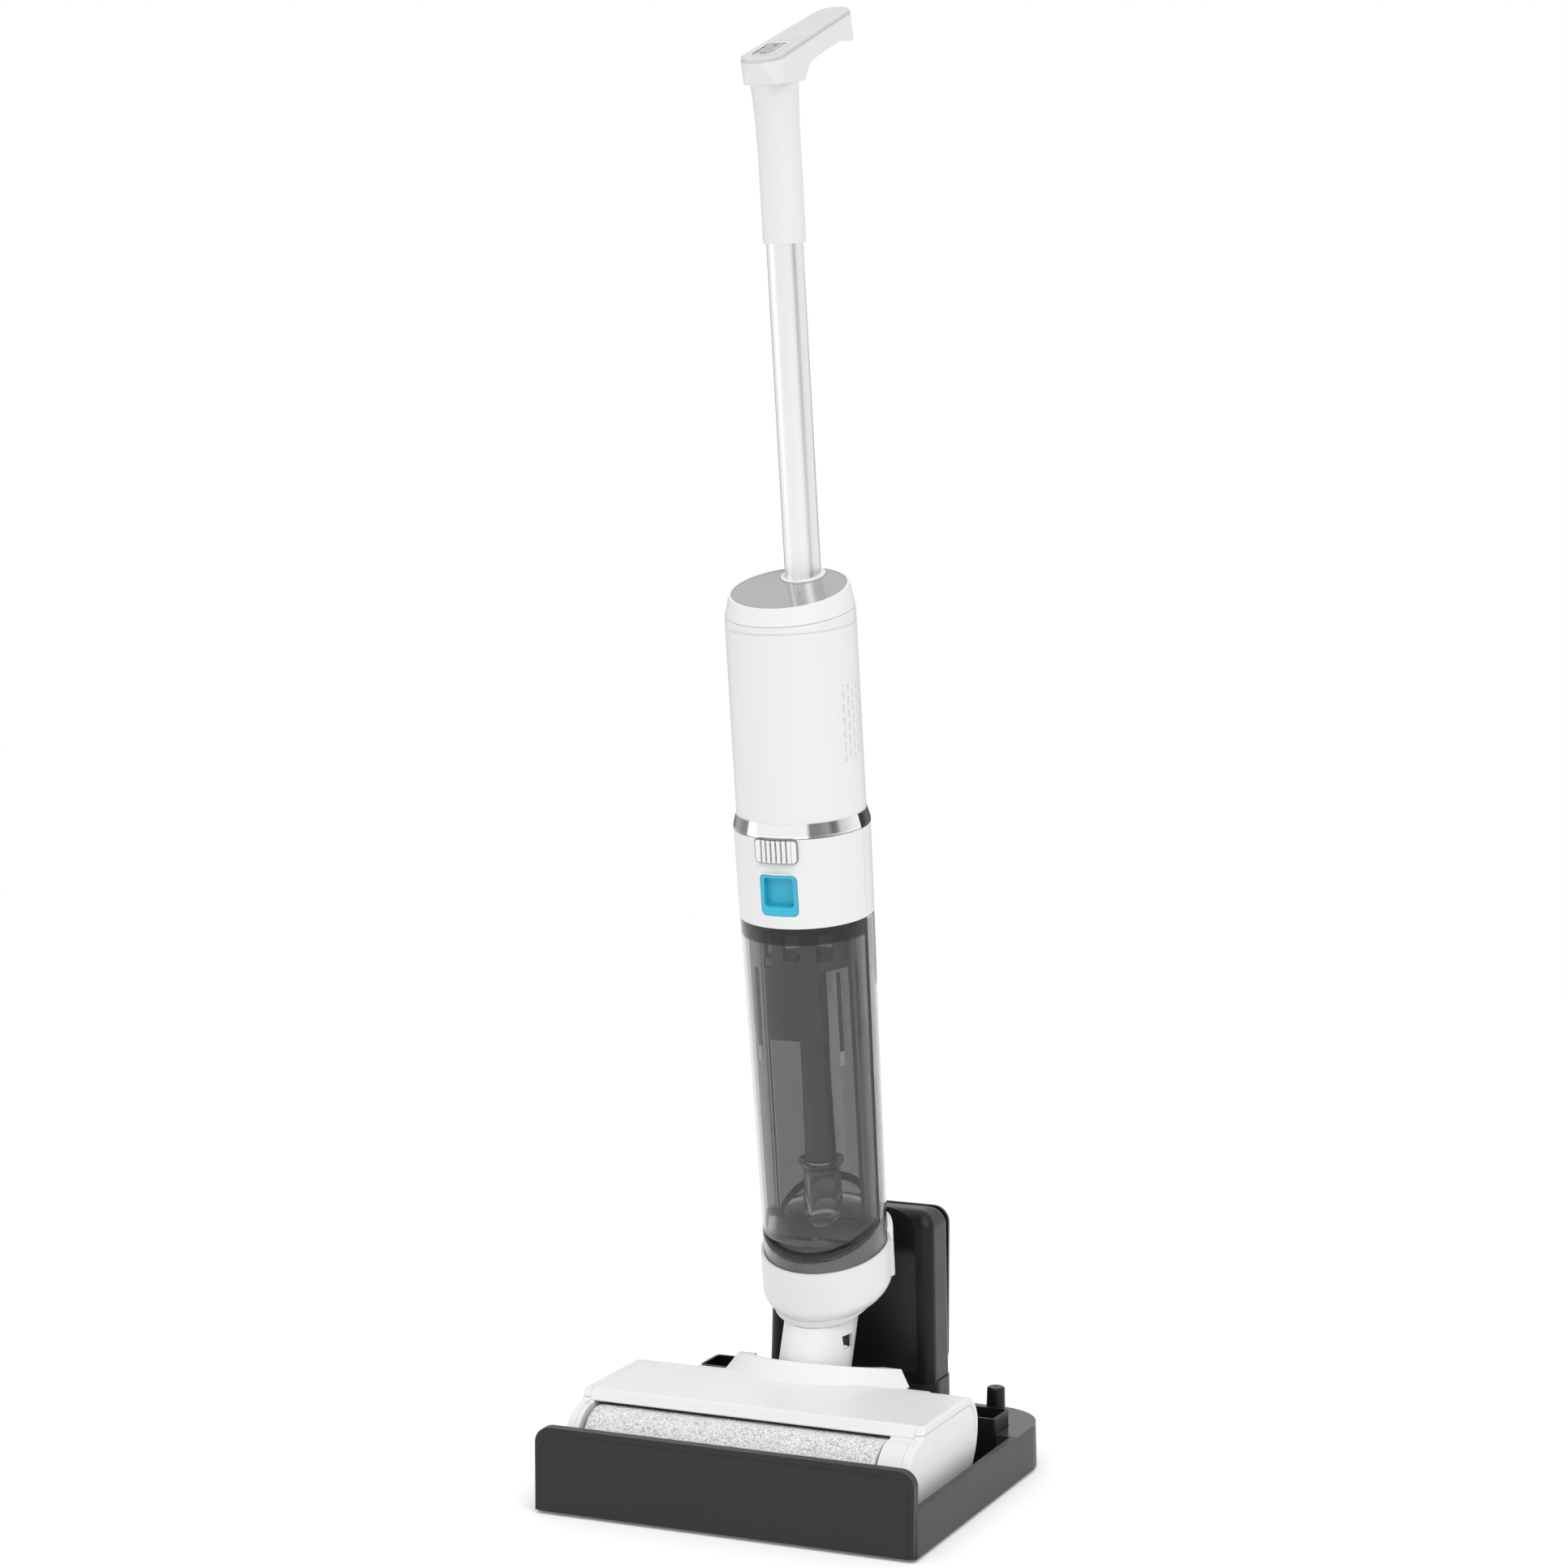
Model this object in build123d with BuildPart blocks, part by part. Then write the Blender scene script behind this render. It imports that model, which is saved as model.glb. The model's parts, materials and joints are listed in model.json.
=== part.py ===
"""Cordless wet floor washer with a roller head, parked upright on its charging dock.

Millimetres, +Z up, front towards -Y. The origin is on the floor at the centre of the dock.
The body leans forward, so everything above the swivel is drawn on BODY, a plane whose
Z axis runs up the body, whose Y axis points to its back and whose X axis is the frame's X.
"""
from build123d import *
from math import cos, radians, sin
import os

os.makedirs("parts", exist_ok=True)

# ---------------------------------------------------------------- driving dimensions
GAP = 0.4                    # play between pieces that move against each other
FIT = 0.05                   # radial clearance of a running fit
WALL = 2.4                   # usual moulding thickness

# dock
DOCK_W, DOCK_D = 300.0, 285.0
DOCK_FRONT, DOCK_BACK = -DOCK_D / 2, DOCK_D / 2
RIM_Z, FRONT_WALL_Z, FLOOR_Z, SKIRT_Z = 36.0, 65.0, 10.0, 2.0
FRONT_CORNER_R, BACK_CORNER_R = 6.0, 42.0
RIM_WALL, FRONT_WALL = 6.0, 8.0
WELL_BACK_Y = 62.0           # back of the open well, in front of the deck
PEDESTAL_Z, TOWER_TOP_Z = 60.0, 192.0
TOWER_FRONT_Y, TOWER_HALF_W = 96.0, 69.0
RECESS_DEPTH, RECESS_HALF_W = 17.0, 57.0

# floor head
HEAD_END_X = 129.0           # inner face of the end caps
CAP_T = 6.5
HEAD_FRONT_Y, HEAD_BACK_Y = -93.0, 20.0
LIP_LEAN = 6.0               # how far the lip's face leans back over its height
HEAD_TOP_Z, LIP_Z, HEAD_BASE_Z = 82.0, 72.5, 20.0
HEAD_BACK_R, CAP_LOW_R = 24.0, 42.0
ROLLER_Y, ROLLER_Z, ROLLER_R = -92.0, 41.5, 30.0
ROLLER_LEFT_X, ROLLER_RIGHT_X = -122.5, 108.5
HOUSING_R = 32.5
NOSE_R = 32.0                # front of the cheeks and end caps about the roller
CHEEK_X = 111.0              # inner face of the cheek that hides the gear case
BAY_BACK_Y = -57.0           # front face of the wall behind the roller
HINGE_Y, HINGE_Z = 20.0, 58.0
HINGE_PIN_R = 6.0
BARREL_R = 18.0
WHEEL_R, WHEEL_X, WHEEL_Y, WHEEL_Z = 16.0, 105.0, 1.0, 27.0
AXLE_R = 2.5

# neck
NECK_LEAN = 20.0             # degrees the neck leans back
NECK_R = 27.5
NECK_LIP_R = 38.9            # reach of the neck's slanted top from the swivel's axis
NECK_LATCH_H, NECK_LATCH_TURN = 40.0, 84.0
NECK_FOOT_R = 27.0           # round foot of the neck about the hinge

# body
LEAN = 8.0                   # degrees the body leans forward
BODY_FOOT_Y = 74.8           # where the body's axis would meet the floor
CUP_R, CUP_WALL = 49.5, 2.0
CUP_FLOOR_H, CUP_FLOOR_SLOPE = 138.0, 0.30
CUP_RIM_H, CUP_RIM_SLOPE = 176.5, 0.172
SWIVEL_Y = -8.0              # swivel centre, in front of the body's axis
SWIVEL_R = 25.0
CONTACT_H = 160.0            # height of the charging contacts up the body
SEAL_H, SEAL_SLOPE, SEAL_T = 200.0, 0.464, 3.0
TANK_TOP_H, TANK_TOP_R = 436.0, 49.8
TANK_LOW_H, TANK_LOW_R = 190.0, 47.2
CLEAN_LOW_H = 198.6          # level bottom of the clean water tank
TANK_CORE_R = 36.0           # rounded back of the dirty water tank
FLOAT_PLACE = (-3, -20.5)    # float chamber, across and back from the axis
SEAM_Y = -4.5                # plane between the front and back shells
BAND_TOP_H, BAND_R = 504.0, 50.6
RING_TOP_H = 514.4
SHELL_R = 48.0
SHOULDER_H, SHOULDER_SLOPE = 664.6, 0.105
LENS_RIM_H, LENS_RIM_SLOPE, LENS_RIM_R = 680.0, 0.172, 44.4
TUBE_Y, TUBE_R, TUBE_WALL = 27.0, 13.3, 1.2
SLEEVE_H, SLEEVE_R = 927.0, 15.5
GRIP_FRONT_Y, GRIP_FRONT_H = -7.6, 1058.4
GRIP_BACK_Y, GRIP_BACK_H = 150.0, 1087.7

# ---------------------------------------------------------------- planes and axes
BODY = Plane(origin=(0, BODY_FOOT_Y, 0), x_dir=(1, 0, 0),
             z_dir=(0, -sin(radians(LEAN)), cos(radians(LEAN))))
BODY_AXIS = Axis(BODY.origin, BODY.z_dir)
BODY_FACE = Plane(origin=BODY.origin, x_dir=(1, 0, 0), z_dir=-BODY.y_dir)    # x right, y up
BODY_FLANK = Plane(origin=BODY.origin, x_dir=BODY.y_dir, z_dir=(1, 0, 0))    # x back, y up
HEAD_FLANK = Plane.YZ                                                        # x back, y up
HINGE = Plane(origin=(0, HINGE_Y, HINGE_Z), x_dir=(0, 1, 0), z_dir=(1, 0, 0))
ROLLER = Plane(origin=(0, ROLLER_Y, ROLLER_Z), x_dir=(0, 1, 0), z_dir=(1, 0, 0))
NECK = Plane(origin=(0, HINGE_Y, HINGE_Z), x_dir=(1, 0, 0),
             z_dir=(0, sin(radians(NECK_LEAN)), cos(radians(NECK_LEAN))))


def body_point(x, y, h):
    """Frame position of a point given across, back and up the body."""
    return BODY.from_local_coords(Vector(x, y, h))


def sloped(height, slope, x=0.0, y=0.0):
    """Plane across the body that crosses its axis at height and rises to the back."""
    up = (BODY.z_dir - BODY.y_dir * slope).normalized()
    return Plane(origin=body_point(x, y, height + slope * y), x_dir=(1, 0, 0), z_dir=up)


CUP_FLOOR = sloped(CUP_FLOOR_H, CUP_FLOOR_SLOPE)
CUP_RIM = sloped(CUP_RIM_H, CUP_RIM_SLOPE)
SEAL = sloped(SEAL_H, SEAL_SLOPE)
SWIVEL = sloped(CUP_FLOOR_H, CUP_FLOOR_SLOPE, y=SWIVEL_Y)
TUBE = Plane(origin=body_point(0, TUBE_Y, 0), x_dir=(1, 0, 0), z_dir=BODY.z_dir)


# ---------------------------------------------------------------- shared shapes
def write(piece, name):
    """Label a finished piece and write it as a STEP file of its own."""
    piece.part.label = name
    export_step(piece.part, f"parts/{name}.step")


def outline(plane, *points):
    """Closed straight-sided outline on a plane."""
    with BuildSketch(plane) as shape:
        with BuildLine():
            Polyline(*points, close=True)
        make_face()
    return shape.sketch


def disc(plane, radius, hole=0.0):
    """Round outline on a plane, with an optional round hole."""
    with BuildSketch(plane) as shape:
        Circle(radius)
        if hole:
            Circle(hole, mode=Mode.SUBTRACT)
    return shape.sketch


def rounded(plane, width, depth, radius, x=0.0, y=0.0):
    """Rectangle with rounded corners on a plane."""
    with BuildSketch(plane) as shape:
        with Locations((x, y)):
            RectangleRounded(width, depth, radius)
    return shape.sketch


def tank_radius(height):
    """Outer radius of the tapering tank at a height up the body."""
    rise = (height - TANK_LOW_H) / (TANK_TOP_H - TANK_LOW_H)
    return TANK_LOW_R + rise * (TANK_TOP_R - TANK_LOW_R)


def tank_plug(low, high, inset=0.0, drop=0.0):
    """Dirty tank's outer form, moved inwards by inset: a tapering front half, a round back."""
    with BuildPart() as plug:
        revolve(outline(BODY_FACE, (0, low), (tank_radius(low) - inset, low),
                        (tank_radius(high) - inset, high), (0, high)), axis=BODY_AXIS)
        split(bisect_by=Plane(origin=body_point(0, SEAM_Y - inset, 0), z_dir=BODY.y_dir),
              keep=Keep.BOTTOM)
        extrude(disc(BODY.offset(low), TANK_CORE_R - inset), amount=high - low)
        split(bisect_by=SEAL.offset(drop), keep=Keep.TOP)
    return plug.part


# ================================================================ dock
def dock_outline(plane, inset):
    """Dock seen from above: small front corners, large back corners."""
    with BuildSketch(plane) as shape:
        Rectangle(DOCK_W - 2 * inset, DOCK_D - 2 * inset)
        fillet(shape.vertices().group_by(Axis.Y)[0], FRONT_CORNER_R - inset)
        fillet(shape.vertices().group_by(Axis.Y)[-1], BACK_CORNER_R - inset)
    return shape.sketch


def dock():
    with BuildPart() as dock_tray:
        extrude(dock_outline(Plane.XY.offset(SKIRT_Z), 0), amount=RIM_Z - SKIRT_Z, taper=1.5)
        with BuildSketch(Plane.XZ.offset(-DOCK_FRONT - FRONT_WALL)) as wall:
            with Locations((0, (FRONT_WALL_Z + SKIRT_Z) / 2)):
                Rectangle(DOCK_W - 2, FRONT_WALL_Z - SKIRT_Z)
            fillet(wall.vertices().group_by(Axis.Y)[-1], 12)
        extrude(amount=FRONT_WALL - 0.4, taper=1.5)
        with BuildSketch(Plane.XY.offset(FLOOR_Z)) as well:
            with Locations((0, (DOCK_FRONT + FRONT_WALL + WELL_BACK_Y) / 2)):
                RectangleRounded(DOCK_W - 2 * RIM_WALL, WELL_BACK_Y - DOCK_FRONT - FRONT_WALL, 5)
            with Locations((0, 80)):
                RectangleRounded(DOCK_W - 2 * RIM_WALL, 60, 5)
        extrude(amount=80, mode=Mode.SUBTRACT)
        with BuildSketch(Plane.XY.offset(FLOOR_Z - 1)) as box_deck:
            with Locations((DOCK_W / 2 - RIM_WALL + 1, 112)):
                Rectangle(48, 16, align=(Align.MAX, Align.MAX))
                Rectangle(12.6, 47, align=(Align.MAX, Align.MAX))
        extrude(amount=RIM_Z - FLOOR_Z + 1)
        with BuildSketch(Plane.XY.offset(FLOOR_Z - 3)) as pedestal:
            with Locations((0, (TOWER_FRONT_Y + DOCK_BACK) / 2 - 0.6)):
                RectangleRounded(2 * TOWER_HALF_W + 4, DOCK_BACK - TOWER_FRONT_Y - 1.2, 14)
        extrude(amount=PEDESTAL_Z - FLOOR_Z + 3, taper=1)
        extrude(dock_outline(Plane.XY.offset(SKIRT_Z), 3), amount=FLOOR_Z - SKIRT_Z - 3,
                mode=Mode.SUBTRACT)
        with BuildSketch(Plane.XY.offset(SKIRT_Z)) as pedestal_void:
            with Locations((0, (TOWER_FRONT_Y + DOCK_BACK) / 2 - 0.6)):
                RectangleRounded(2 * TOWER_HALF_W - 6, DOCK_BACK - TOWER_FRONT_Y - 11, 8)
        extrude(amount=PEDESTAL_Z, mode=Mode.SUBTRACT)
    write(dock_tray, "dock_tray")

    with BuildPart() as dock_base_plate:
        extrude(dock_outline(Plane.XY.offset(SKIRT_Z), 3.4), amount=2.0)
        with Locations(*[(x, y, SKIRT_Z) for x in (-120, 120) for y in (-110, 95)]):
            Hole(1.9, depth=10)
    write(dock_base_plate, "dock_base_plate")

    with BuildPart() as dock_screws:
        with Locations(*[(x, y, SKIRT_Z - 0.2) for x in (-120, 120) for y in (-110, 95)]):
            Cylinder(3.4, 0.2, align=(Align.CENTER, Align.CENTER, Align.MIN))
            Cylinder(1.85, 4.8, align=(Align.CENTER, Align.CENTER, Align.MIN))
    write(dock_screws, "dock_screws")

    with BuildPart() as dock_feet:
        with Locations(*[(x, y, 0) for x in (-132, 132) for y in (-128, 84)]):
            Cylinder(7, SKIRT_Z, align=(Align.CENTER, Align.CENTER, Align.MIN))
    write(dock_feet, "dock_feet")


def tower():
    mid_y = (TOWER_FRONT_Y + DOCK_BACK - 4) / 2
    depth = DOCK_BACK - 4 - TOWER_FRONT_Y
    chord_r = (RECESS_HALF_W ** 2 + RECESS_DEPTH ** 2) / (2 * RECESS_DEPTH)
    recess_y = TOWER_FRONT_Y + RECESS_DEPTH - chord_r

    with BuildPart() as tower_shell:
        with BuildSketch(Plane.XY.offset(PEDESTAL_Z)):
            with Locations((0, mid_y)):
                RectangleRounded(2 * TOWER_HALF_W, depth, 10)
        extrude(amount=TOWER_TOP_Z - PEDESTAL_Z, taper=1.2)
        fillet(tower_shell.edges().filter_by(Axis.Y).group_by(Axis.Z)[-1], 14)
        extrude(disc(Plane(origin=(0, recess_y, PEDESTAL_Z + 8)), chord_r),
                amount=TOWER_TOP_Z, mode=Mode.SUBTRACT)
        with BuildSketch(Plane.XZ.offset(-DOCK_BACK + 3)) as void:
            with Locations((0, (PEDESTAL_Z + TOWER_TOP_Z) / 2)):
                RectangleRounded(2 * TOWER_HALF_W - 12, TOWER_TOP_Z - PEDESTAL_Z - 10, 12)
        extrude(amount=22, mode=Mode.SUBTRACT)
        with Locations(*[Location((x, TOWER_FRONT_Y + RECESS_DEPTH + 5, 166), (90, 0, 0))
                         for x in (-9, 9)]):
            Cylinder(2.6, 24, mode=Mode.SUBTRACT)
    write(tower_shell, "tower_shell")

    with BuildPart() as tower_back_cover:
        with BuildSketch(Plane.XZ.offset(-DOCK_BACK + 3.6)) as cover:
            with Locations((0, (PEDESTAL_Z + TOWER_TOP_Z) / 2)):
                RectangleRounded(2 * TOWER_HALF_W - 8, TOWER_TOP_Z - PEDESTAL_Z - 5, 13)
            with Locations((38, PEDESTAL_Z + 16)):
                Circle(6.2, mode=Mode.SUBTRACT)
        extrude(amount=-3.0)
    write(tower_back_cover, "tower_back_cover")

    with BuildPart() as power_socket:
        extrude(disc(Plane(origin=(38, DOCK_BACK - 0.6, PEDESTAL_Z + 16), z_dir=(0, -1, 0)), 6.0),
                amount=14)
        extrude(disc(Plane(origin=(38, DOCK_BACK - 0.6, PEDESTAL_Z + 16), z_dir=(0, -1, 0)), 3.2),
                amount=11, mode=Mode.SUBTRACT)
        extrude(disc(Plane(origin=(38, DOCK_BACK - 2.0, PEDESTAL_Z + 16), z_dir=(0, -1, 0)), 0.9),
                amount=12)
    write(power_socket, "power_socket")

    with BuildPart() as charging_pins:
        for x in (-9, 9):
            pin = Plane(origin=(x, TOWER_FRONT_Y + RECESS_DEPTH - 9.2, 166), z_dir=(0, 1, 0))
            extrude(disc(pin, 2.5), amount=20)
            extrude(disc(pin.offset(18.4), 4.0), amount=1.6)
    write(charging_pins, "charging_pins")


def dock_extras():
    with BuildPart() as accessory_box:
        with BuildSketch(Plane.XY.offset(FLOOR_Z)):
            with Locations((115.5, 80)):
                RectangleRounded(33, 31, 2)
        extrude(amount=38)
        with BuildSketch(Plane.XY.offset(FLOOR_Z + 2)):
            with Locations((115.5, 80)):
                RectangleRounded(29, 27, 1)
        extrude(amount=40, mode=Mode.SUBTRACT)
    write(accessory_box, "accessory_box")

    with BuildPart() as brush_peg:
        foot = Plane(origin=(113.6, 116, RIM_Z))
        extrude(disc(foot, 7.4), amount=22.6, taper=1.5)
        fillet(brush_peg.edges().group_by(Axis.Z)[-1], 1.6)
        extrude(disc(foot.offset(18), 1.2), amount=6, mode=Mode.SUBTRACT)
    write(brush_peg, "brush_peg")

    with BuildPart() as filter_holder:
        with BuildSketch(Plane.XY.offset(RIM_Z)):
            with Locations((-107, 117)):
                RectangleRounded(44, 34, 4)
        extrude(amount=18)
        with BuildSketch(Plane.XY.offset(RIM_Z + 2)):
            with Locations((-107, 117)):
                RectangleRounded(40, 30, 2.4)
        extrude(amount=18, mode=Mode.SUBTRACT)
    write(filter_holder, "filter_holder")


# ================================================================ floor head
def head_profile(plane, inset, front, low, back_r):
    """Side view of the floor head between its front and its round back."""
    with BuildSketch(plane) as shape:
        with BuildLine():
            Polyline((front + inset, low), (front + inset, LIP_Z),
                     (front + LIP_LEAN + inset, HEAD_TOP_Z - inset),
                     (HEAD_BACK_Y - inset, HEAD_TOP_Z - inset), (HEAD_BACK_Y - inset, low),
                     close=True)
        make_face()
        fillet(shape.vertices().group_by(Axis.Y)[-1].sort_by(Axis.X)[-1], back_r)
        fillet(shape.vertices().group_by(Axis.Y)[-1].sort_by(Axis.X)[0], 3.0 - inset / 2)
    return shape.sketch


def hump_outline(height, half_width, back, front):
    """Curved visor around the neck, seen from above."""
    with BuildSketch(Plane.XY.offset(height)) as shape:
        with BuildLine():
            ThreePointArc((-half_width, back), (0, front), (half_width, back))
            Line((half_width, back), (-half_width, back))
        make_face()
    return shape.sketch


def nose(plane, inset, low, high):
    """Round front about the roller with a straight back, seen from the side."""
    back = BAY_BACK_Y + 6
    with BuildSketch(plane) as shape:
        with Locations((ROLLER_Y, ROLLER_Z)):
            Circle(NOSE_R - inset)
        with Locations(((ROLLER_Y + back) / 2, ROLLER_Z)):
            Rectangle(back - ROLLER_Y, 2 * NOSE_R)
        with Locations((ROLLER_Y, (low + high) / 2)):
            Rectangle(4 * NOSE_R, high - low, mode=Mode.INTERSECT)
    return shape.sketch


def cheek(plane, inset, thickness):
    """Block beside the roller that closes the front of the head, drawn from the side."""
    with BuildPart() as block:
        extrude(nose(plane, inset, HEAD_BASE_Z + 2 + inset, LIP_Z - inset), amount=thickness)
    return block.part


def floor_head():
    left = HEAD_FLANK.offset(-HEAD_END_X)
    mirrored = (-1, 1)

    with BuildPart() as hump_void:
        loft([hump_outline(70, 48, 34, -14), hump_outline(98, 56, 43.5, 2.5)])

    with BuildPart() as hump:
        loft([hump_outline(74, 75, 34, -28), hump_outline(95.5, 60, 42, -0.5)])
        split(bisect_by=Plane(origin=(0, -2, 94), z_dir=(0, 0.2, 1)), keep=Keep.BOTTOM)

    with BuildPart() as head_cover:
        extrude(head_profile(left, 0, HEAD_FRONT_Y, HEAD_BASE_Z, HEAD_BACK_R),
                amount=2 * HEAD_END_X)
        extrude(head_profile(left.offset(2.5), 2.5, HEAD_FRONT_Y, HEAD_BASE_Z - 3,
                             HEAD_BACK_R - 2.5),
                amount=2 * HEAD_END_X - 5, mode=Mode.SUBTRACT)
        with Locations((0, BAY_BACK_Y, HEAD_BASE_Z - 1)):
            Box(2 * HEAD_END_X, 60, LIP_Z - HEAD_BASE_Z + 1, mode=Mode.SUBTRACT,
                align=(Align.CENTER, Align.MAX, Align.MIN))
        with Locations((0, BAY_BACK_Y, HEAD_BASE_Z)):
            Box(2 * HEAD_END_X, WALL, 55, align=(Align.CENTER, Align.MIN, Align.MIN))
        with Locations((0, BAY_BACK_Y + WALL, LIP_Z)):
            Box(2 * HEAD_END_X, BAY_BACK_Y + WALL - HEAD_FRONT_Y - 0.5, WALL,
                align=(Align.CENTER, Align.MAX, Align.MIN))
        add(cheek(HEAD_FLANK.offset(CHEEK_X), 0, HEAD_END_X - CHEEK_X))
        add(cheek(left, 0, 4))
        with Locations((0, 43, 50)):
            Box(101, 70, 90, mode=Mode.SUBTRACT)
        for side in mirrored:
            extrude(disc(HINGE.offset(side * 50), BARREL_R), amount=side * 44)
        add(hump.part)
        add(hump_void.part, mode=Mode.SUBTRACT)
        extrude(disc(NECK, NECK_R + 1.6), amount=60, mode=Mode.SUBTRACT)
        extrude(disc(HINGE.offset(-33.5), NECK_FOOT_R + 2), amount=67, mode=Mode.SUBTRACT)
        extrude(disc(ROLLER.offset(ROLLER_LEFT_X - 2.5), HOUSING_R),
                amount=ROLLER_RIGHT_X - ROLLER_LEFT_X + 5, mode=Mode.SUBTRACT)
        add(cheek(HEAD_FLANK.offset(CHEEK_X + WALL), WALL, 20), mode=Mode.SUBTRACT)
        extrude(disc(ROLLER.offset(CHEEK_X - 3), 8), amount=10, mode=Mode.SUBTRACT)
        extrude(disc(ROLLER.offset(-HEAD_END_X), 4 + FIT), amount=10, mode=Mode.SUBTRACT)
        for side in mirrored:
            extrude(disc(HINGE.offset(side * 48), HINGE_PIN_R), amount=side * 14,
                    mode=Mode.SUBTRACT)
    write(head_cover, "head_cover")

    for side, name in zip(mirrored, ("end_cap_left", "end_cap_right")):
        with BuildPart() as end_cap:
            face = HEAD_FLANK.offset(side * (HEAD_END_X + 0.2))
            with BuildSketch(face):
                add(nose(Plane.XY, 0, 15, HEAD_TOP_Z))
                with BuildLine():
                    Polyline((ROLLER_Y, 15), (HEAD_BACK_Y, 15), (HEAD_BACK_Y, HEAD_TOP_Z),
                             (HEAD_FRONT_Y + LIP_LEAN, HEAD_TOP_Z), (HEAD_FRONT_Y, LIP_Z),
                             close=True)
                make_face()
            extrude(amount=side * (CAP_T - 0.2))
            for place, radius in ((-1, HEAD_BACK_R), (0, CAP_LOW_R)):
                back = end_cap.edges().filter_by(Axis.X).group_by(Axis.Y)[-1]
                fillet(back.sort_by(Axis.Z)[place], radius)
            chamfer(end_cap.faces().sort_by(Axis.X)[0 if side < 0 else -1].edges(), 1.5)
        write(end_cap, name)

    with BuildPart() as head_chassis:
        with Locations((0, BAY_BACK_Y + 0.3, 14)):
            Box(248, 75.8, 5.6, align=(Align.CENTER, Align.MIN, Align.MIN))
        for side in mirrored:
            ear = HEAD_FLANK.offset(side * 34)
            with BuildSketch(ear):
                with Locations((HINGE_Y, HINGE_Z)):
                    Circle(16)
                with Locations((HINGE_Y - 6, (HINGE_Z + 14) / 2)):
                    Rectangle(28, HINGE_Z - 14)
            extrude(amount=side * 14)
            with Locations((side * WHEEL_X, WHEEL_Y, 16)):
                Box(14, 2 * WHEEL_R + 3, 20, mode=Mode.SUBTRACT)
            for x in (WHEEL_X - 10.5, WHEEL_X + 10.5):
                with Locations((side * x, WHEEL_Y, 14)):
                    Box(4, 10, WHEEL_Z + 5 - 14, align=(Align.CENTER, Align.CENTER, Align.MIN))
            extrude(disc(HINGE.offset(side * 30), HINGE_PIN_R), amount=side * 30,
                    mode=Mode.SUBTRACT)
        with Locations((0, -49.5, 14)):
            Box(150, 9, 20, mode=Mode.SUBTRACT)
        with Locations(*[(x, y, 14) for x in (-80, 80) for y in (-30, 8)]):
            Cylinder(3.2, 2.2, align=(Align.CENTER, Align.CENTER, Align.MIN),
                     mode=Mode.SUBTRACT)
        axle = Plane(origin=(-125, WHEEL_Y, WHEEL_Z), x_dir=(0, 1, 0), z_dir=(1, 0, 0))
        extrude(disc(axle, AXLE_R + FIT), amount=250, mode=Mode.SUBTRACT)
        extrude(disc(HINGE.offset(-33.5), NECK_FOOT_R + 2), amount=67, mode=Mode.SUBTRACT)
    write(head_chassis, "head_chassis")

    for side, name in zip(mirrored, ("wheel_left", "wheel_right")):
        with BuildPart() as wheel:
            inner = Plane(origin=(side * (WHEEL_X - 6), WHEEL_Y, WHEEL_Z), x_dir=(0, 1, 0),
                          z_dir=(side, 0, 0))
            extrude(disc(inner, WHEEL_R), amount=12)
            chamfer(wheel.edges().filter_by(GeomType.CIRCLE).group_by(SortBy.RADIUS)[-1], 1.2)
            extrude(disc(inner.offset(10), 12, 6), amount=2, mode=Mode.SUBTRACT)
            extrude(disc(inner.offset(-6), AXLE_R), amount=24)
        write(wheel, name)

    with BuildPart() as hinge_pins:
        for side in mirrored:
            extrude(disc(HINGE.offset(side * 18), HINGE_PIN_R), amount=side * 43)
    write(hinge_pins, "hinge_pins")

    with BuildPart() as head_screws:
        with Locations(*[(x, y, 14) for x in (-80, 80) for y in (-30, 8)]):
            Cylinder(3.2, 2.2, align=(Align.CENTER, Align.CENTER, Align.MIN))
    write(head_screws, "head_screws")

    with BuildPart() as roller_scraper:
        with Locations(((ROLLER_LEFT_X + ROLLER_RIGHT_X) / 2, -59.8, 53)):
            Box(ROLLER_RIGHT_X - ROLLER_LEFT_X - 2, 5.4, 2)
    write(roller_scraper, "roller_scraper")

    with BuildPart() as floor_squeegee:
        with Locations(((ROLLER_LEFT_X + ROLLER_RIGHT_X) / 2, -58.7, 11.4)):
            Box(ROLLER_RIGHT_X - ROLLER_LEFT_X - 4, 2.2, 16,
                align=(Align.CENTER, Align.CENTER, Align.MIN))
    write(floor_squeegee, "floor_squeegee")

    with BuildPart() as water_bar:
        with Locations((-7, -70, 77.2)):
            Box(200, 9, 4.2)
        with GridLocations(20, 1, 10, 1):
            with Locations((-7, -70, 77)):
                Cylinder(1.2, 8, mode=Mode.SUBTRACT)
    write(water_bar, "water_bar")

    with BuildPart() as suction_duct:
        with BuildSketch(Plane.XZ.offset(54.4)):
            with Locations((0, 42)):
                RectangleRounded(46, 30, 8)
                RectangleRounded(41, 25, 6, mode=Mode.SUBTRACT)
        extrude(amount=-53.4)
        extrude(disc(HINGE.offset(-33), NECK_FOOT_R + 2.4), amount=66, mode=Mode.SUBTRACT)
    write(suction_duct, "suction_duct")

    with BuildPart() as roller_gearmotor:
        shaft = Plane(origin=(60, -26, 50), x_dir=(0, 1, 0), z_dir=(1, 0, 0))
        extrude(disc(shaft, 16), amount=46)
        extrude(disc(shaft, 9), amount=56)
        with BuildSketch(HEAD_FLANK.offset(CHEEK_X + WALL + 1)):
            with Locations((ROLLER_Y, ROLLER_Z), (-26, 50)):
                Circle(13)
            with Locations(((ROLLER_Y - 26) / 2, (ROLLER_Z + 50) / 2)):
                Rectangle(66, 16)
        extrude(amount=11)
        extrude(disc(ROLLER.offset(CHEEK_X + WALL), 7 + FIT), amount=4, mode=Mode.SUBTRACT)
    write(roller_gearmotor, "roller_gearmotor")


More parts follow.
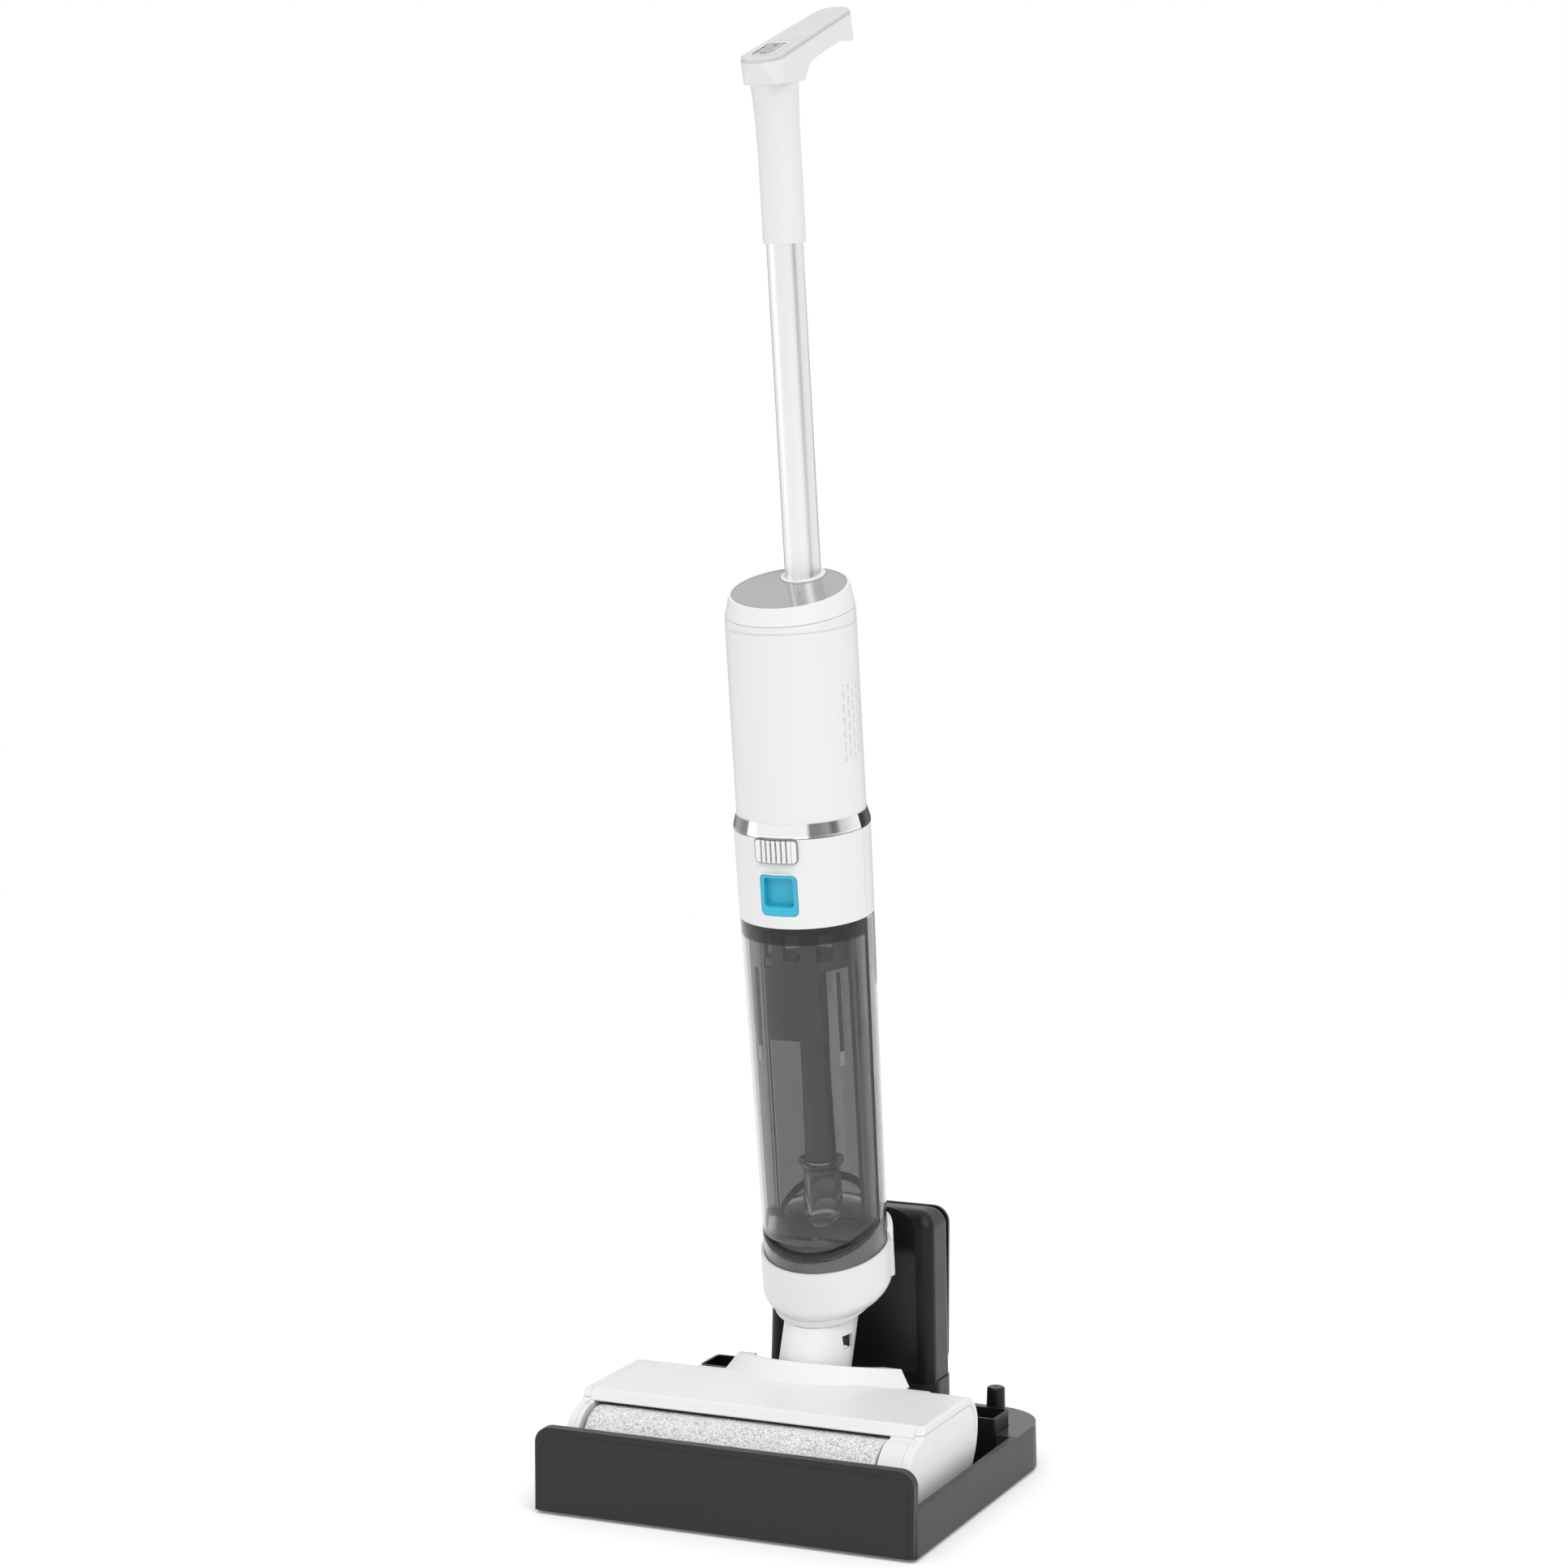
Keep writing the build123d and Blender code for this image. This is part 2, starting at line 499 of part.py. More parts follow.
def roller():
    length = ROLLER_RIGHT_X - ROLLER_LEFT_X
    start = ROLLER.offset(ROLLER_LEFT_X)
    with BuildPart() as roller_core:
        extrude(disc(start, 20, 16), amount=length)
        extrude(disc(start, 17), amount=6)
        extrude(disc(start.offset(length - 8), 17), amount=8)
        extrude(disc(start.offset(-6), 4), amount=8)
        extrude(disc(start.offset(length - 2), 7), amount=8)
    write(roller_core, "roller_core")

    with BuildPart() as roller_pile:
        extrude(disc(start.offset(0.5), ROLLER_R, 20), amount=length - 1)
        fillet(roller_pile.edges().filter_by(GeomType.CIRCLE).group_by(SortBy.RADIUS)[-1], 2.5)
    write(roller_pile, "roller_pile")


# ================================================================ neck
def neck():
    with BuildPart() as neck_shell:
        extrude(disc(HINGE.offset(-26), NECK_FOOT_R), amount=52)
        extrude(disc(NECK, NECK_R), amount=140)
        split(bisect_by=SWIVEL.offset(-0.6), keep=Keep.BOTTOM)
        extrude(disc(NECK.offset(24), NECK_R - WALL), amount=140, mode=Mode.SUBTRACT)
        extrude(rounded(NECK.offset(-40), 30, 24, 8), amount=80, mode=Mode.SUBTRACT)
        extrude(disc(HINGE.offset(-30), HINGE_PIN_R + FIT), amount=60, mode=Mode.SUBTRACT)
        latch = NECK.offset(NECK_LATCH_H).rotated((0, 0, NECK_LATCH_TURN))
        with Locations(latch):
            with Locations((0, -NECK_R, 0)):
                Box(12.4, 9, 9.4, mode=Mode.SUBTRACT)
    write(neck_shell, "neck_shell")

    with BuildPart() as neck_release:
        extrude(disc(NECK.offset(NECK_LATCH_H - 4.4), NECK_R), amount=8.8)
        latch = NECK.offset(NECK_LATCH_H).rotated((0, 0, NECK_LATCH_TURN))
        with Locations(latch):
            with Locations((0, -NECK_R, 0)):
                Box(11.8, 8, 8.8, mode=Mode.INTERSECT)
    write(neck_release, "neck_release")

    with BuildPart() as swivel_hub:
        extrude(disc(SWIVEL.offset(-0.6), SWIVEL_R, 17), amount=4.6)
        extrude(disc(SWIVEL.offset(3.0), 31, 17), amount=3)
    write(swivel_hub, "swivel_hub")


# ================================================================ cup and clean water tank
def cup():
    with BuildPart() as cup_void:
        extrude(disc(BODY.offset(100), CUP_R - CUP_WALL), amount=140)
        split(bisect_by=CUP_FLOOR.offset(2.6), keep=Keep.TOP)
        fillet(cup_void.edges().group_by(Axis.Z)[0], 9)

    with BuildPart() as backrest:
        extrude(disc(BODY.offset(150), CUP_R + 1.8), amount=70)
        with BuildSketch(BODY_FACE.offset(-10)):
            with Locations((0, CONTACT_H)):
                RectangleRounded(2 * CUP_R, 62, 12)
        extrude(amount=-50, mode=Mode.INTERSECT)

    with BuildPart() as cup_shell:
        extrude(disc(BODY.offset(100), CUP_R), amount=120)
        split(bisect_by=CUP_FLOOR, keep=Keep.TOP)
        fillet(cup_shell.edges().group_by(Axis.Z)[0], 11)
        split(bisect_by=CUP_RIM, keep=Keep.BOTTOM)
        add(backrest.part)
        add(cup_void.part, mode=Mode.SUBTRACT)
        extrude(disc(SWIVEL, NECK_LIP_R), amount=2.6)
        extrude(disc(SWIVEL, NECK_LIP_R, 33), amount=5)
        extrude(disc(SWIVEL.offset(-3), SWIVEL_R + FIT), amount=12, mode=Mode.SUBTRACT)
        with Locations(BODY.offset(CONTACT_H)):
            with Locations((-9, CUP_R + 1.4, 0), (9, CUP_R + 1.4, 0)):
                Box(7.2, 3, 11.2, mode=Mode.SUBTRACT)
    write(cup_shell, "cup_shell")

    with BuildPart() as charge_contacts:
        with Locations(BODY.offset(CONTACT_H)):
            with Locations((-9, CUP_R + 0.5, 0), (9, CUP_R + 0.5, 0)):
                Box(7, 1.0, 11)
    write(charge_contacts, "charge_contacts")



def clean_plug(low, high, inset=0.0, drop=0.0):
    """Clean water tank's form: a tapering half shell behind the dirty water tank."""
    with BuildPart() as plug:
        inner = TANK_CORE_R + 1.2 + inset
        revolve(outline(BODY_FACE, (inner, low), (tank_radius(low) - inset, low),
                        (tank_radius(high) - inset, high), (inner, high)), axis=BODY_AXIS)
        split(bisect_by=Plane(origin=body_point(0, SEAM_Y + GAP + inset, 0), z_dir=BODY.y_dir),
              keep=Keep.TOP)
        split(bisect_by=BODY.offset(CLEAN_LOW_H + drop), keep=Keep.TOP)
    return plug.part


def water_tanks():
    with BuildPart() as cradle_void:
        extrude(disc(BODY.offset(120), CUP_R - CUP_WALL - WALL), amount=140)
        split(bisect_by=SEAL.offset(-3.2), keep=Keep.BOTTOM)
        split(bisect_by=BODY.offset(CLEAN_LOW_H - 3.2), keep=Keep.BOTTOM)

    with BuildPart() as tank_cradle:
        extrude(disc(BODY.offset(120), CUP_R - CUP_WALL - 0.3), amount=140)
        split(bisect_by=SEAL.offset(-GAP), keep=Keep.BOTTOM)
        split(bisect_by=BODY.offset(CLEAN_LOW_H - GAP), keep=Keep.BOTTOM)
        split(bisect_by=CUP_RIM.offset(-14), keep=Keep.TOP)
        add(cradle_void.part, mode=Mode.SUBTRACT)
        extrude(disc(BODY.offset(150), 12), amount=80, mode=Mode.SUBTRACT)
    write(tank_cradle, "tank_cradle")

    with BuildPart() as clean_tank:
        add(clean_plug(TANK_LOW_H, TANK_TOP_H, 0, 0.2))
        add(clean_plug(TANK_LOW_H, TANK_TOP_H - 2.2, 1.8, 2.2), mode=Mode.SUBTRACT)
    write(clean_tank, "clean_tank")

    with BuildPart() as dirty_tank:
        add(tank_plug(TANK_LOW_H, TANK_TOP_H, 0, SEAL_T))
        add(tank_plug(TANK_LOW_H, TANK_TOP_H + 1, 2.2, SEAL_T + 2.4), mode=Mode.SUBTRACT)
        extrude(disc(BODY.offset(190), 10.5), amount=40, mode=Mode.SUBTRACT)
    write(dirty_tank, "dirty_tank")

    with BuildPart() as tank_seal:
        add(tank_plug(TANK_LOW_H - 20, TANK_TOP_H, 0.2, 0))
        add(tank_plug(TANK_LOW_H - 20, TANK_TOP_H, 4.2, -1), mode=Mode.SUBTRACT)
        split(bisect_by=SEAL.offset(SEAL_T), keep=Keep.BOTTOM)
    write(tank_seal, "tank_seal")

    with BuildPart() as inlet_stub:
        revolve(outline(BODY_FACE, (10.5, 200), (15.5, 200), (13.6, 237), (17.5, 241),
                        (17.5, 243), (12.2, 243), (12.2, 236), (10.5, 234)), axis=BODY_AXIS)
        split(bisect_by=SEAL.offset(SEAL_T + 2.4), keep=Keep.TOP)
    write(inlet_stub, "inlet_stub")

    with BuildPart() as inlet_tube:
        revolve(outline(BODY_FACE, (9.4, 236), (12.0, 236), (11.0, 300), (11.0, 398),
                        (9.4, 398)), axis=BODY_AXIS)
    write(inlet_tube, "inlet_tube")

    with BuildPart() as strainer:
        extrude(disc(BODY.offset(398), 33.2, 11), amount=4)
        extrude(disc(BODY.offset(402), 33.2, 31), amount=32)
        for angle in range(0, 360, 45):
            with Locations(BODY.offset(417).rotated((0, 0, angle))):
                with Locations((0, -33, 0)):
                    Box(13, 8, 20, mode=Mode.SUBTRACT)
        with BuildSketch(BODY.offset(344)):
            with Locations(FLOAT_PLACE):
                RectangleRounded(44, 16, 3)
        extrude(amount=55)
        with BuildSketch(BODY.offset(346)):
            with Locations(FLOAT_PLACE):
                RectangleRounded(40.4, 12.4, 2)
        extrude(amount=51, mode=Mode.SUBTRACT)

    with BuildPart() as strainer_block:
        add(strainer.solids().sort_by(SortBy.VOLUME)[-1])
    write(strainer_block, "strainer_block")

    with BuildPart() as tank_float:
        with BuildSketch(BODY.offset(346.5)):
            with Locations(FLOAT_PLACE):
                RectangleRounded(39.4, 11.4, 2)
        extrude(amount=24)
    write(tank_float, "tank_float")


def band_plug(inset=0.0, floor=0.0):
    """Head of the dirty water tank: the same plan as the tank, a little larger in front."""
    low, high = TANK_TOP_H + 0.4 + floor, BAND_TOP_H - 0.3 - inset
    with BuildPart() as plug:
        revolve(outline(BODY_FACE, (0, low), (BAND_R - 0.6 - inset, low), (BAND_R - inset, high),
                        (0, high)), axis=BODY_AXIS)
        split(bisect_by=Plane(origin=body_point(0, SEAM_Y - inset, 0), z_dir=BODY.y_dir),
              keep=Keep.BOTTOM)
        extrude(disc(BODY.offset(low), TANK_CORE_R - inset), amount=high - low)
    return plug.part


def tank_band():
    low, high = TANK_TOP_H + 0.4, BAND_TOP_H - 0.3
    with BuildPart() as tank_head:
        add(band_plug())
        add(band_plug(WALL, -1), mode=Mode.SUBTRACT)
        extrude(disc(BODY.offset(high - 5), 29), amount=8, mode=Mode.SUBTRACT)
        extrude(rounded(BODY_FACE.offset(36), 29.6, 31.0, 4, y=461.4), amount=30,
                mode=Mode.SUBTRACT)
        extrude(rounded(BODY_FACE.offset(48.4), 33.2, 40, 2, y=498), amount=12,
                mode=Mode.SUBTRACT)
    write(tank_head, "tank_head")

    with BuildPart() as tank_release:
        extrude(disc(BODY.offset(440), 50.2), amount=40)
        extrude(rounded(BODY_FACE.offset(39), 28.8, 30.2, 3.6, y=461.4), amount=30,
                mode=Mode.INTERSECT)
        extrude(rounded(BODY_FACE.offset(43), 23, 22, 2.5, y=463.6), amount=20,
                mode=Mode.SUBTRACT)
    write(tank_release, "tank_release")

    with BuildPart() as filter_latch:
        extrude(disc(BODY.offset(486.6), 52.6), amount=16.6)
        extrude(rounded(BODY_FACE.offset(48.9), 32.2, 16.8, 3, y=495), amount=30,
                mode=Mode.INTERSECT)
        with Locations(*[BODY_FACE.offset(52.4) * Pos(x, 495, 0)
                         for x in range(-11, 12, 4)]):
            Box(1.6, 12.6, 2.6, mode=Mode.SUBTRACT)
    write(filter_latch, "filter_latch")

    with BuildPart() as filter_cartridge:
        extrude(disc(BODY.offset(440), 28, 9), amount=56)
        extrude(disc(BODY.offset(496), 28.7), amount=7)
        extrude(disc(BODY.offset(500), 22), amount=4, mode=Mode.SUBTRACT)
    write(filter_cartridge, "filter_cartridge")

    with BuildPart() as rear_spine:
        revolve(outline(BODY_FACE, (TANK_CORE_R + 1.2, low), (BAND_R - 0.6, low),
                        (BAND_R, high), (TANK_CORE_R + 1.2, high)), axis=BODY_AXIS)
        split(bisect_by=Plane(origin=body_point(0, SEAM_Y + GAP, 0), z_dir=BODY.y_dir),
              keep=Keep.TOP)
    write(rear_spine, "rear_spine")


# ================================================================ upper body
def upper_body():
    with BuildPart() as chrome_ring:
        revolve(outline(BODY_FACE, (40, BAND_TOP_H + 0.3), (BAND_R + 0.2, BAND_TOP_H + 0.3),
                        (BAND_R + 0.2, BAND_TOP_H + 2), (SHELL_R + 0.6, RING_TOP_H),
                        (40, RING_TOP_H)), axis=BODY_AXIS)
    write(chrome_ring, "chrome_ring")

    with BuildPart() as body_shell:
        extrude(disc(BODY.offset(RING_TOP_H), SHELL_R, SHELL_R - WALL), amount=180)
        split(bisect_by=sloped(SHOULDER_H, SHOULDER_SLOPE), keep=Keep.BOTTOM)
        for column in range(6):
            for side in (-1, 1):
                turn = BODY.rotated((0, 0, side * (66 + 7 * column)))
                for row in range(3):
                    height = 524 + 9.5 * row + 4.75 * (column % 2)
                    with Locations(turn.offset(height)):
                        with Locations((0, -SHELL_R, 0)):
                            Box(1.8, 9, 6.4, mode=Mode.SUBTRACT)
    write(body_shell, "body_shell")

    shoulder = sloped(SHOULDER_H + 0.3, SHOULDER_SLOPE)
    rim = sloped(LENS_RIM_H, LENS_RIM_SLOPE)
    with BuildPart() as tube_collar:
        extrude(disc(TUBE.offset(640), TUBE_R + 3.4), amount=60)
        split(bisect_by=rim.offset(-5), keep=Keep.TOP)
        split(bisect_by=rim.offset(0.5), keep=Keep.BOTTOM)

    with BuildPart() as top_collar:
        loft([disc(shoulder, SHELL_R - 0.5), disc(rim, LENS_RIM_R)])
        extrude(disc(rim.offset(-2.0), LENS_RIM_R - 1.8), amount=10, mode=Mode.SUBTRACT)
        extrude(disc(BODY.offset(640), 41.5), amount=28, mode=Mode.SUBTRACT)
        add(tube_collar.part)
        extrude(disc(TUBE.offset(640), TUBE_R + 0.1), amount=80, mode=Mode.SUBTRACT)
    write(top_collar, "top_collar")

    with BuildPart() as display_lens:
        extrude(disc(rim.offset(-1.9), LENS_RIM_R - 2.1), amount=1.5)
        extrude(disc(TUBE.offset(640), TUBE_R + 3.8), amount=80, mode=Mode.SUBTRACT)
    write(display_lens, "display_lens")

    with BuildPart() as handle_tube:
        extrude(disc(TUBE.offset(602), TUBE_R, TUBE_R - TUBE_WALL), amount=408)
        groove = Plane(origin=TUBE.from_local_coords(Vector(0, -TUBE_R - 2.9, 0)),
                       x_dir=(1, 0, 0), z_dir=BODY.z_dir)
        extrude(disc(groove.offset(640), 3.6), amount=52, mode=Mode.SUBTRACT)
    write(handle_tube, "handle_tube")

    cells = [(-28, -14), (-9.5, -22), (9.5, -22), (28, -14), (-9.5, -2.5), (9.5, -2.5)]
    with BuildPart() as battery_cells:
        with Locations(*[BODY.offset(591) * Pos(x, y, 32.5) for x, y in cells]):
            Cylinder(9.2, 65)
    write(battery_cells, "battery_cells")

    with BuildPart() as battery_frame:
        for height in (588, 657):
            extrude(disc(BODY.offset(height), 44), amount=2)
        extrude(disc(TUBE.offset(588), TUBE_R + 3.4), amount=76)
        with Locations(BODY.offset(590)):
            with Locations((-41, 4, 33.5), (41, 4, 33.5)):
                Box(3, 12, 70)
        extrude(disc(TUBE.offset(602), TUBE_R), amount=80, mode=Mode.SUBTRACT)
    write(battery_frame, "battery_frame")

    with BuildPart() as main_board:
        with Locations(BODY.offset(552)):
            with Locations((0, 41.5, 0)):
                Box(34, 1.6, 66)
    write(main_board, "main_board")

    with BuildPart() as motor_housing:
        revolve(outline(BODY_FACE, (14, 516), (38, 516), (38, 546), (26, 550), (26, 584),
                        (0, 584), (0, 581.6), (15, 581.6), (15, 557), (23.6, 557), (23.6, 548.4),
                        (35.6, 543.6),
                        (35.6, 518.4), (14, 518.4)), axis=BODY_AXIS)
    write(motor_housing, "motor_housing")

    with BuildPart() as impeller:
        revolve(outline(BODY_FACE, (0, 522), (5, 522), (9, 530), (31, 536), (31, 538),
                        (9, 540), (4, 541), (4, 555), (14, 555), (14, 579), (0, 579)),
                axis=BODY_AXIS)
        for blade in range(9):
            with Locations(BODY.offset(531).rotated((0, 0, 40 * blade))):
                with Locations((0, 19, 0)):
                    Box(1.2, 22, 12)
    write(impeller, "impeller")


# ================================================================ grip
GRIP_SLOPE = (GRIP_BACK_H - GRIP_FRONT_H) / (GRIP_BACK_Y - GRIP_FRONT_Y)
GRIP = Plane(origin=body_point(0, GRIP_FRONT_Y, GRIP_FRONT_H), x_dir=(1, 0, 0),
             z_dir=(BODY.z_dir - BODY.y_dir * GRIP_SLOPE).normalized())
PANEL_T = 3.0
BUTTON_PITCH = 11.3
KEYPAD_Y = 27.0              # centre of the button panel, back along the grip


def grip_outline(plane, inset):
    """Grip seen from above: wide and round in front, narrower at the back."""
    with BuildSketch(plane) as shape:
        with Locations((0, 15)):
            Circle(16.2 - inset)
        with Locations((0, 146)):
            Circle(13.5 - inset)
        make_hull()
    return shape.sketch


def oval(height, middle, half_width, half_depth):
    """Section of the grip's throat at a height up the body."""
    with BuildSketch(BODY.offset(height)) as shape:
        with Locations((0, middle)):
            Ellipse(half_width, half_depth)
    return shape.sketch


def grip():
    front, back = TUBE_Y - SLEEVE_R, TUBE_Y + SLEEVE_R
    with BuildPart() as grip_shell:
        with BuildSketch(BODY_FLANK):
            with BuildLine():
                Line((back, 995), (front, 995))
                Line((front, 995), (front, 1010))
                Spline((front, 1010), (6.0, 1032), (GRIP_FRONT_Y - 1, GRIP_FRONT_H - 1),
                       tangents=((0, 1), (-0.25, 1)))
                Line((GRIP_FRONT_Y - 1, GRIP_FRONT_H - 1), (GRIP_FRONT_Y - 1, 1110))
                Line((GRIP_FRONT_Y - 1, 1110), (158, 1110))
                Line((158, 1110), (152, 1073))
                ThreePointArc((152, 1073), (144, 1063.5), (134, 1064))
                Line((134, 1064), (126, 1066))
                Line((126, 1066), (64, 1054))
                Spline((64, 1054), (47, 1043), (back, 1020), tangents=((-1, -0.2), (0, -1)))
                Line((back, 1020), (back, 995))
            make_face()
        extrude(amount=20, both=True)
        extrude(grip_outline(GRIP.offset(5), 0), amount=-120, mode=Mode.INTERSECT)
        split(bisect_by=BODY.offset(1040), keep=Keep.TOP)
        loft([oval(990, 27.0, 15.5, 15.5), oval(1012, 26.0, 15.6, 16.8),
              oval(1040, 24.5, 16.0, 23.0), oval(1056, 20.5, 16.2, 27.5)])
        split(bisect_by=GRIP.offset(-PANEL_T), keep=Keep.BOTTOM)
        extrude(disc(TUBE.offset(SLEEVE_H), SLEEVE_R), amount=80)
        extrude(disc(TUBE.offset(SLEEVE_H - 1), TUBE_R + 0.1), amount=1012 - SLEEVE_H,
                mode=Mode.SUBTRACT)
        extrude(rounded(GRIP.offset(-PANEL_T - 2.2), 24, 62, 6, y=40), amount=-7,
                mode=Mode.SUBTRACT)
    write(grip_shell, "grip_shell")

    with BuildPart() as grip_panel:
        extrude(grip_outline(GRIP.offset(-PANEL_T), 0.5), amount=PANEL_T)
        fillet(grip_panel.faces().sort_by(SortBy.AREA)[-1].edges(), 1.2)
        extrude(rounded(GRIP.offset(-PANEL_T - 1), 19.2, 37.2, 4.2, y=KEYPAD_Y), amount=8,
                mode=Mode.SUBTRACT)
    write(grip_panel, "grip_panel")

    with BuildPart() as keypad_bezel:
        with BuildSketch(GRIP.offset(-PANEL_T)):
            with Locations((0, KEYPAD_Y)):
                RectangleRounded(19, 37, 4)
                RectangleRounded(16, 34, 3, mode=Mode.SUBTRACT)
        extrude(amount=PANEL_T + 0.7)
    write(keypad_bezel, "keypad_bezel")

    names = ("power_button", "mode_button", "cleaning_button")
    for place, name in enumerate(names):
        with BuildPart() as button:
            middle = KEYPAD_Y + (place - 1) * BUTTON_PITCH
            extrude(rounded(GRIP.offset(-PANEL_T + 0.8), 15.2, 10.5, 2.6, y=middle),
                    amount=PANEL_T - 0.5)
            fillet(button.faces().sort_by(Axis(GRIP.origin, GRIP.z_dir))[-1].edges(), 0.5)
        write(button, name)


dock()
tower()
dock_extras()
floor_head()
roller()
neck()
cup()
water_tanks()
tank_band()
upper_body()
grip()
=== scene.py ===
# %% [markdown]
# # An upright floor washer on its charging dock
# The machine itself comes from CAD as a fixed frame: every hard piece is already at its size and
# place, in metres, with +Z up and the front towards -Y. This lesson gives each piece its finish,
# models what CAD can't give, such as the pile on the roller, and sets up a small studio.

# %% Load the frame
import json
import math

import bpy
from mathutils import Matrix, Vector


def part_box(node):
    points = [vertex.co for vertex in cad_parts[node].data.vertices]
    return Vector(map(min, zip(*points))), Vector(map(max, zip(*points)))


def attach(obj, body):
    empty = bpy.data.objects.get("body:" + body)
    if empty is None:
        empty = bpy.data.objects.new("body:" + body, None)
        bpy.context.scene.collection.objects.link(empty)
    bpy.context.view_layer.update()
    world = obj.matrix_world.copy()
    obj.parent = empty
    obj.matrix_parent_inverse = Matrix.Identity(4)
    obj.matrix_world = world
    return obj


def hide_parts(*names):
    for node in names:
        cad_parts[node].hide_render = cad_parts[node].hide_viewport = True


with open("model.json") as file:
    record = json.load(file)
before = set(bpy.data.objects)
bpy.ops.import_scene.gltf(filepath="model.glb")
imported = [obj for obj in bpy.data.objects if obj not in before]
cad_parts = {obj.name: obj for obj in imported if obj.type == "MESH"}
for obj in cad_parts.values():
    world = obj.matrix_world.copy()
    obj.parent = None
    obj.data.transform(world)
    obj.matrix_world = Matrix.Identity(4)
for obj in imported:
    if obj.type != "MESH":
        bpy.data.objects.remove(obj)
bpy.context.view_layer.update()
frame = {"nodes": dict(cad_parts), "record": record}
nodes = frame["nodes"]
bpy.ops.object.select_all(action="DESELECT")
print("pieces from CAD:", len(nodes))

# %% [markdown]
# ## The studio
# A packshot of a white machine needs a white surround, or its edges turn dull. A pale floor, a
# bright sky, two large lamps and a broad overhead sun do that. They are wide, so highlights on the
# tube and the shells are long and soft. Standard colour is used, since it keeps white plastic
# white. The floor is a square five metres wide, centred under the machine.

# %% Camera
CAMERA_PLACE = (1.07387, -2.47532, 0.80977)
LOOK_DOWN, LOOK_LEFT = math.radians(5.957), math.radians(23.697)
camera_data = bpy.data.cameras.new("camera")
camera_data.lens = 84.69
camera_data.sensor_width = 36
camera = bpy.data.objects.new("camera", camera_data)
camera.location = CAMERA_PLACE
camera.rotation_euler = (math.pi / 2 - LOOK_DOWN, 0, LOOK_LEFT)
bpy.context.scene.collection.objects.link(camera)
bpy.context.scene.camera = camera
bpy.context.scene.view_settings.view_transform = "Standard"
print("camera stands", round(math.hypot(*CAMERA_PLACE[:2]), 2), "m away")

# %% Floor
bpy.ops.mesh.primitive_plane_add(size=5, location=(0, 0, -0.0005))
floor = bpy.context.object
floor.name = "studio_floor"
print("floor is", round(floor.dimensions.x, 1), "m wide")

# %% Lamps
def lamp(name, place, aim, size, power):
    """A square soft lamp at place that faces the point aim."""
    data = bpy.data.lights.new(name, "AREA")
    data.shape = "RECTANGLE"
    data.size, data.size_y = size
    data.energy = power
    piece = bpy.data.objects.new(name, data)
    piece.location = place
    away = [a - p for a, p in zip(aim, place)]
    turn = math.atan2(away[0], -away[1])
    tilt = math.atan2(math.hypot(away[0], away[1]), -away[2])
    piece.rotation_euler = (tilt, 0, turn + math.pi)
    bpy.context.scene.collection.objects.link(piece)


lamp("key_lamp", (1.5, -1.6, 2.4), (0, 0, 0.5), (1.4, 2.0), 11)
lamp("left_lamp", (-2.3, -0.9, 1.4), (0, 0, 0.5), (0.8, 2.4), 7)
sun_data = bpy.data.lights.new("overhead_sun", "SUN")
sun_data.energy = 1.35
sun_data.angle = math.radians(70)
overhead = bpy.data.objects.new("overhead_sun", sun_data)
overhead.rotation_euler = (math.radians(34), 0, math.radians(35))
bpy.context.scene.collection.objects.link(overhead)
print("lamps:", [data.name for data in bpy.data.lights])

# %% [markdown]
# ## A small language for finishes
# Node trees get long when they are written one link at a time. A few small classes make them read
# like arithmetic. A `Wire` is the output of a node, and `+`, `-` and `*` on it add Math nodes. A
# `Tree` makes any other node from its settings and inputs, and a `Finish` is the tree of one
# material.

# %% Wires
class Wire:
    """The output of a shader node."""

    def __init__(self, finish, socket):
        self.finish = finish
        self.socket = socket

    def maths(self, operation, first, second=None):
        inputs = {0: first} if second is None else {0: first, 1: second}
        return self.finish.node("ShaderNodeMath", {"operation": operation}, inputs)

    def __add__(self, other):
        return self.maths("ADD", self, other)

    def __sub__(self, other):
        return self.maths("SUBTRACT", self, other)

    def __rsub__(self, other):
        return self.maths("SUBTRACT", other, self)

    def __mul__(self, other):
        return self.maths("MULTIPLY", self, other)

    __radd__ = __add__
    __rmul__ = __mul__

    def size(self):
        return self.maths("ABSOLUTE", self)

    def most(self, other):
        return self.maths("MAXIMUM", self, other)

    def least(self, other):
        return self.maths("MINIMUM", self, other)

    def above(self, edge, soft=0.0002):
        """0 below edge and 1 above it, with a soft step."""
        return self.finish.node("ShaderNodeMapRange", {"interpolation_type": "SMOOTHSTEP"},
                                {0: self, 1: edge - soft, 2: edge + soft})

    def between(self, low, high, soft=0.0002):
        """1 between two edges and 0 elsewhere."""
        return self.above(low, soft) * (1 - self.above(high, soft))


# %% Trees
class Tree:
    """A node tree that a finish, or the sky, is written in."""

    def node(self, kind, settings, inputs, out=0):
        made = self.tree.nodes.new(kind)
        for name, value in settings.items():
            setattr(made, name, value)
        for name, value in inputs.items():
            if isinstance(value, Wire):
                self.tree.links.new(value.socket, made.inputs[name])
            else:
                made.inputs[name].default_value = value
        return Wire(self, made.outputs[out])

    def parts(self, vector):
        split = self.node("ShaderNodeSeparateXYZ", {}, {0: vector}).socket.node
        return [Wire(self, socket) for socket in split.outputs]


# %% Finishes
LEAN = math.radians(8)       # the body leans forward
FOOT_Y = 0.0748              # where the body's axis meets the floor


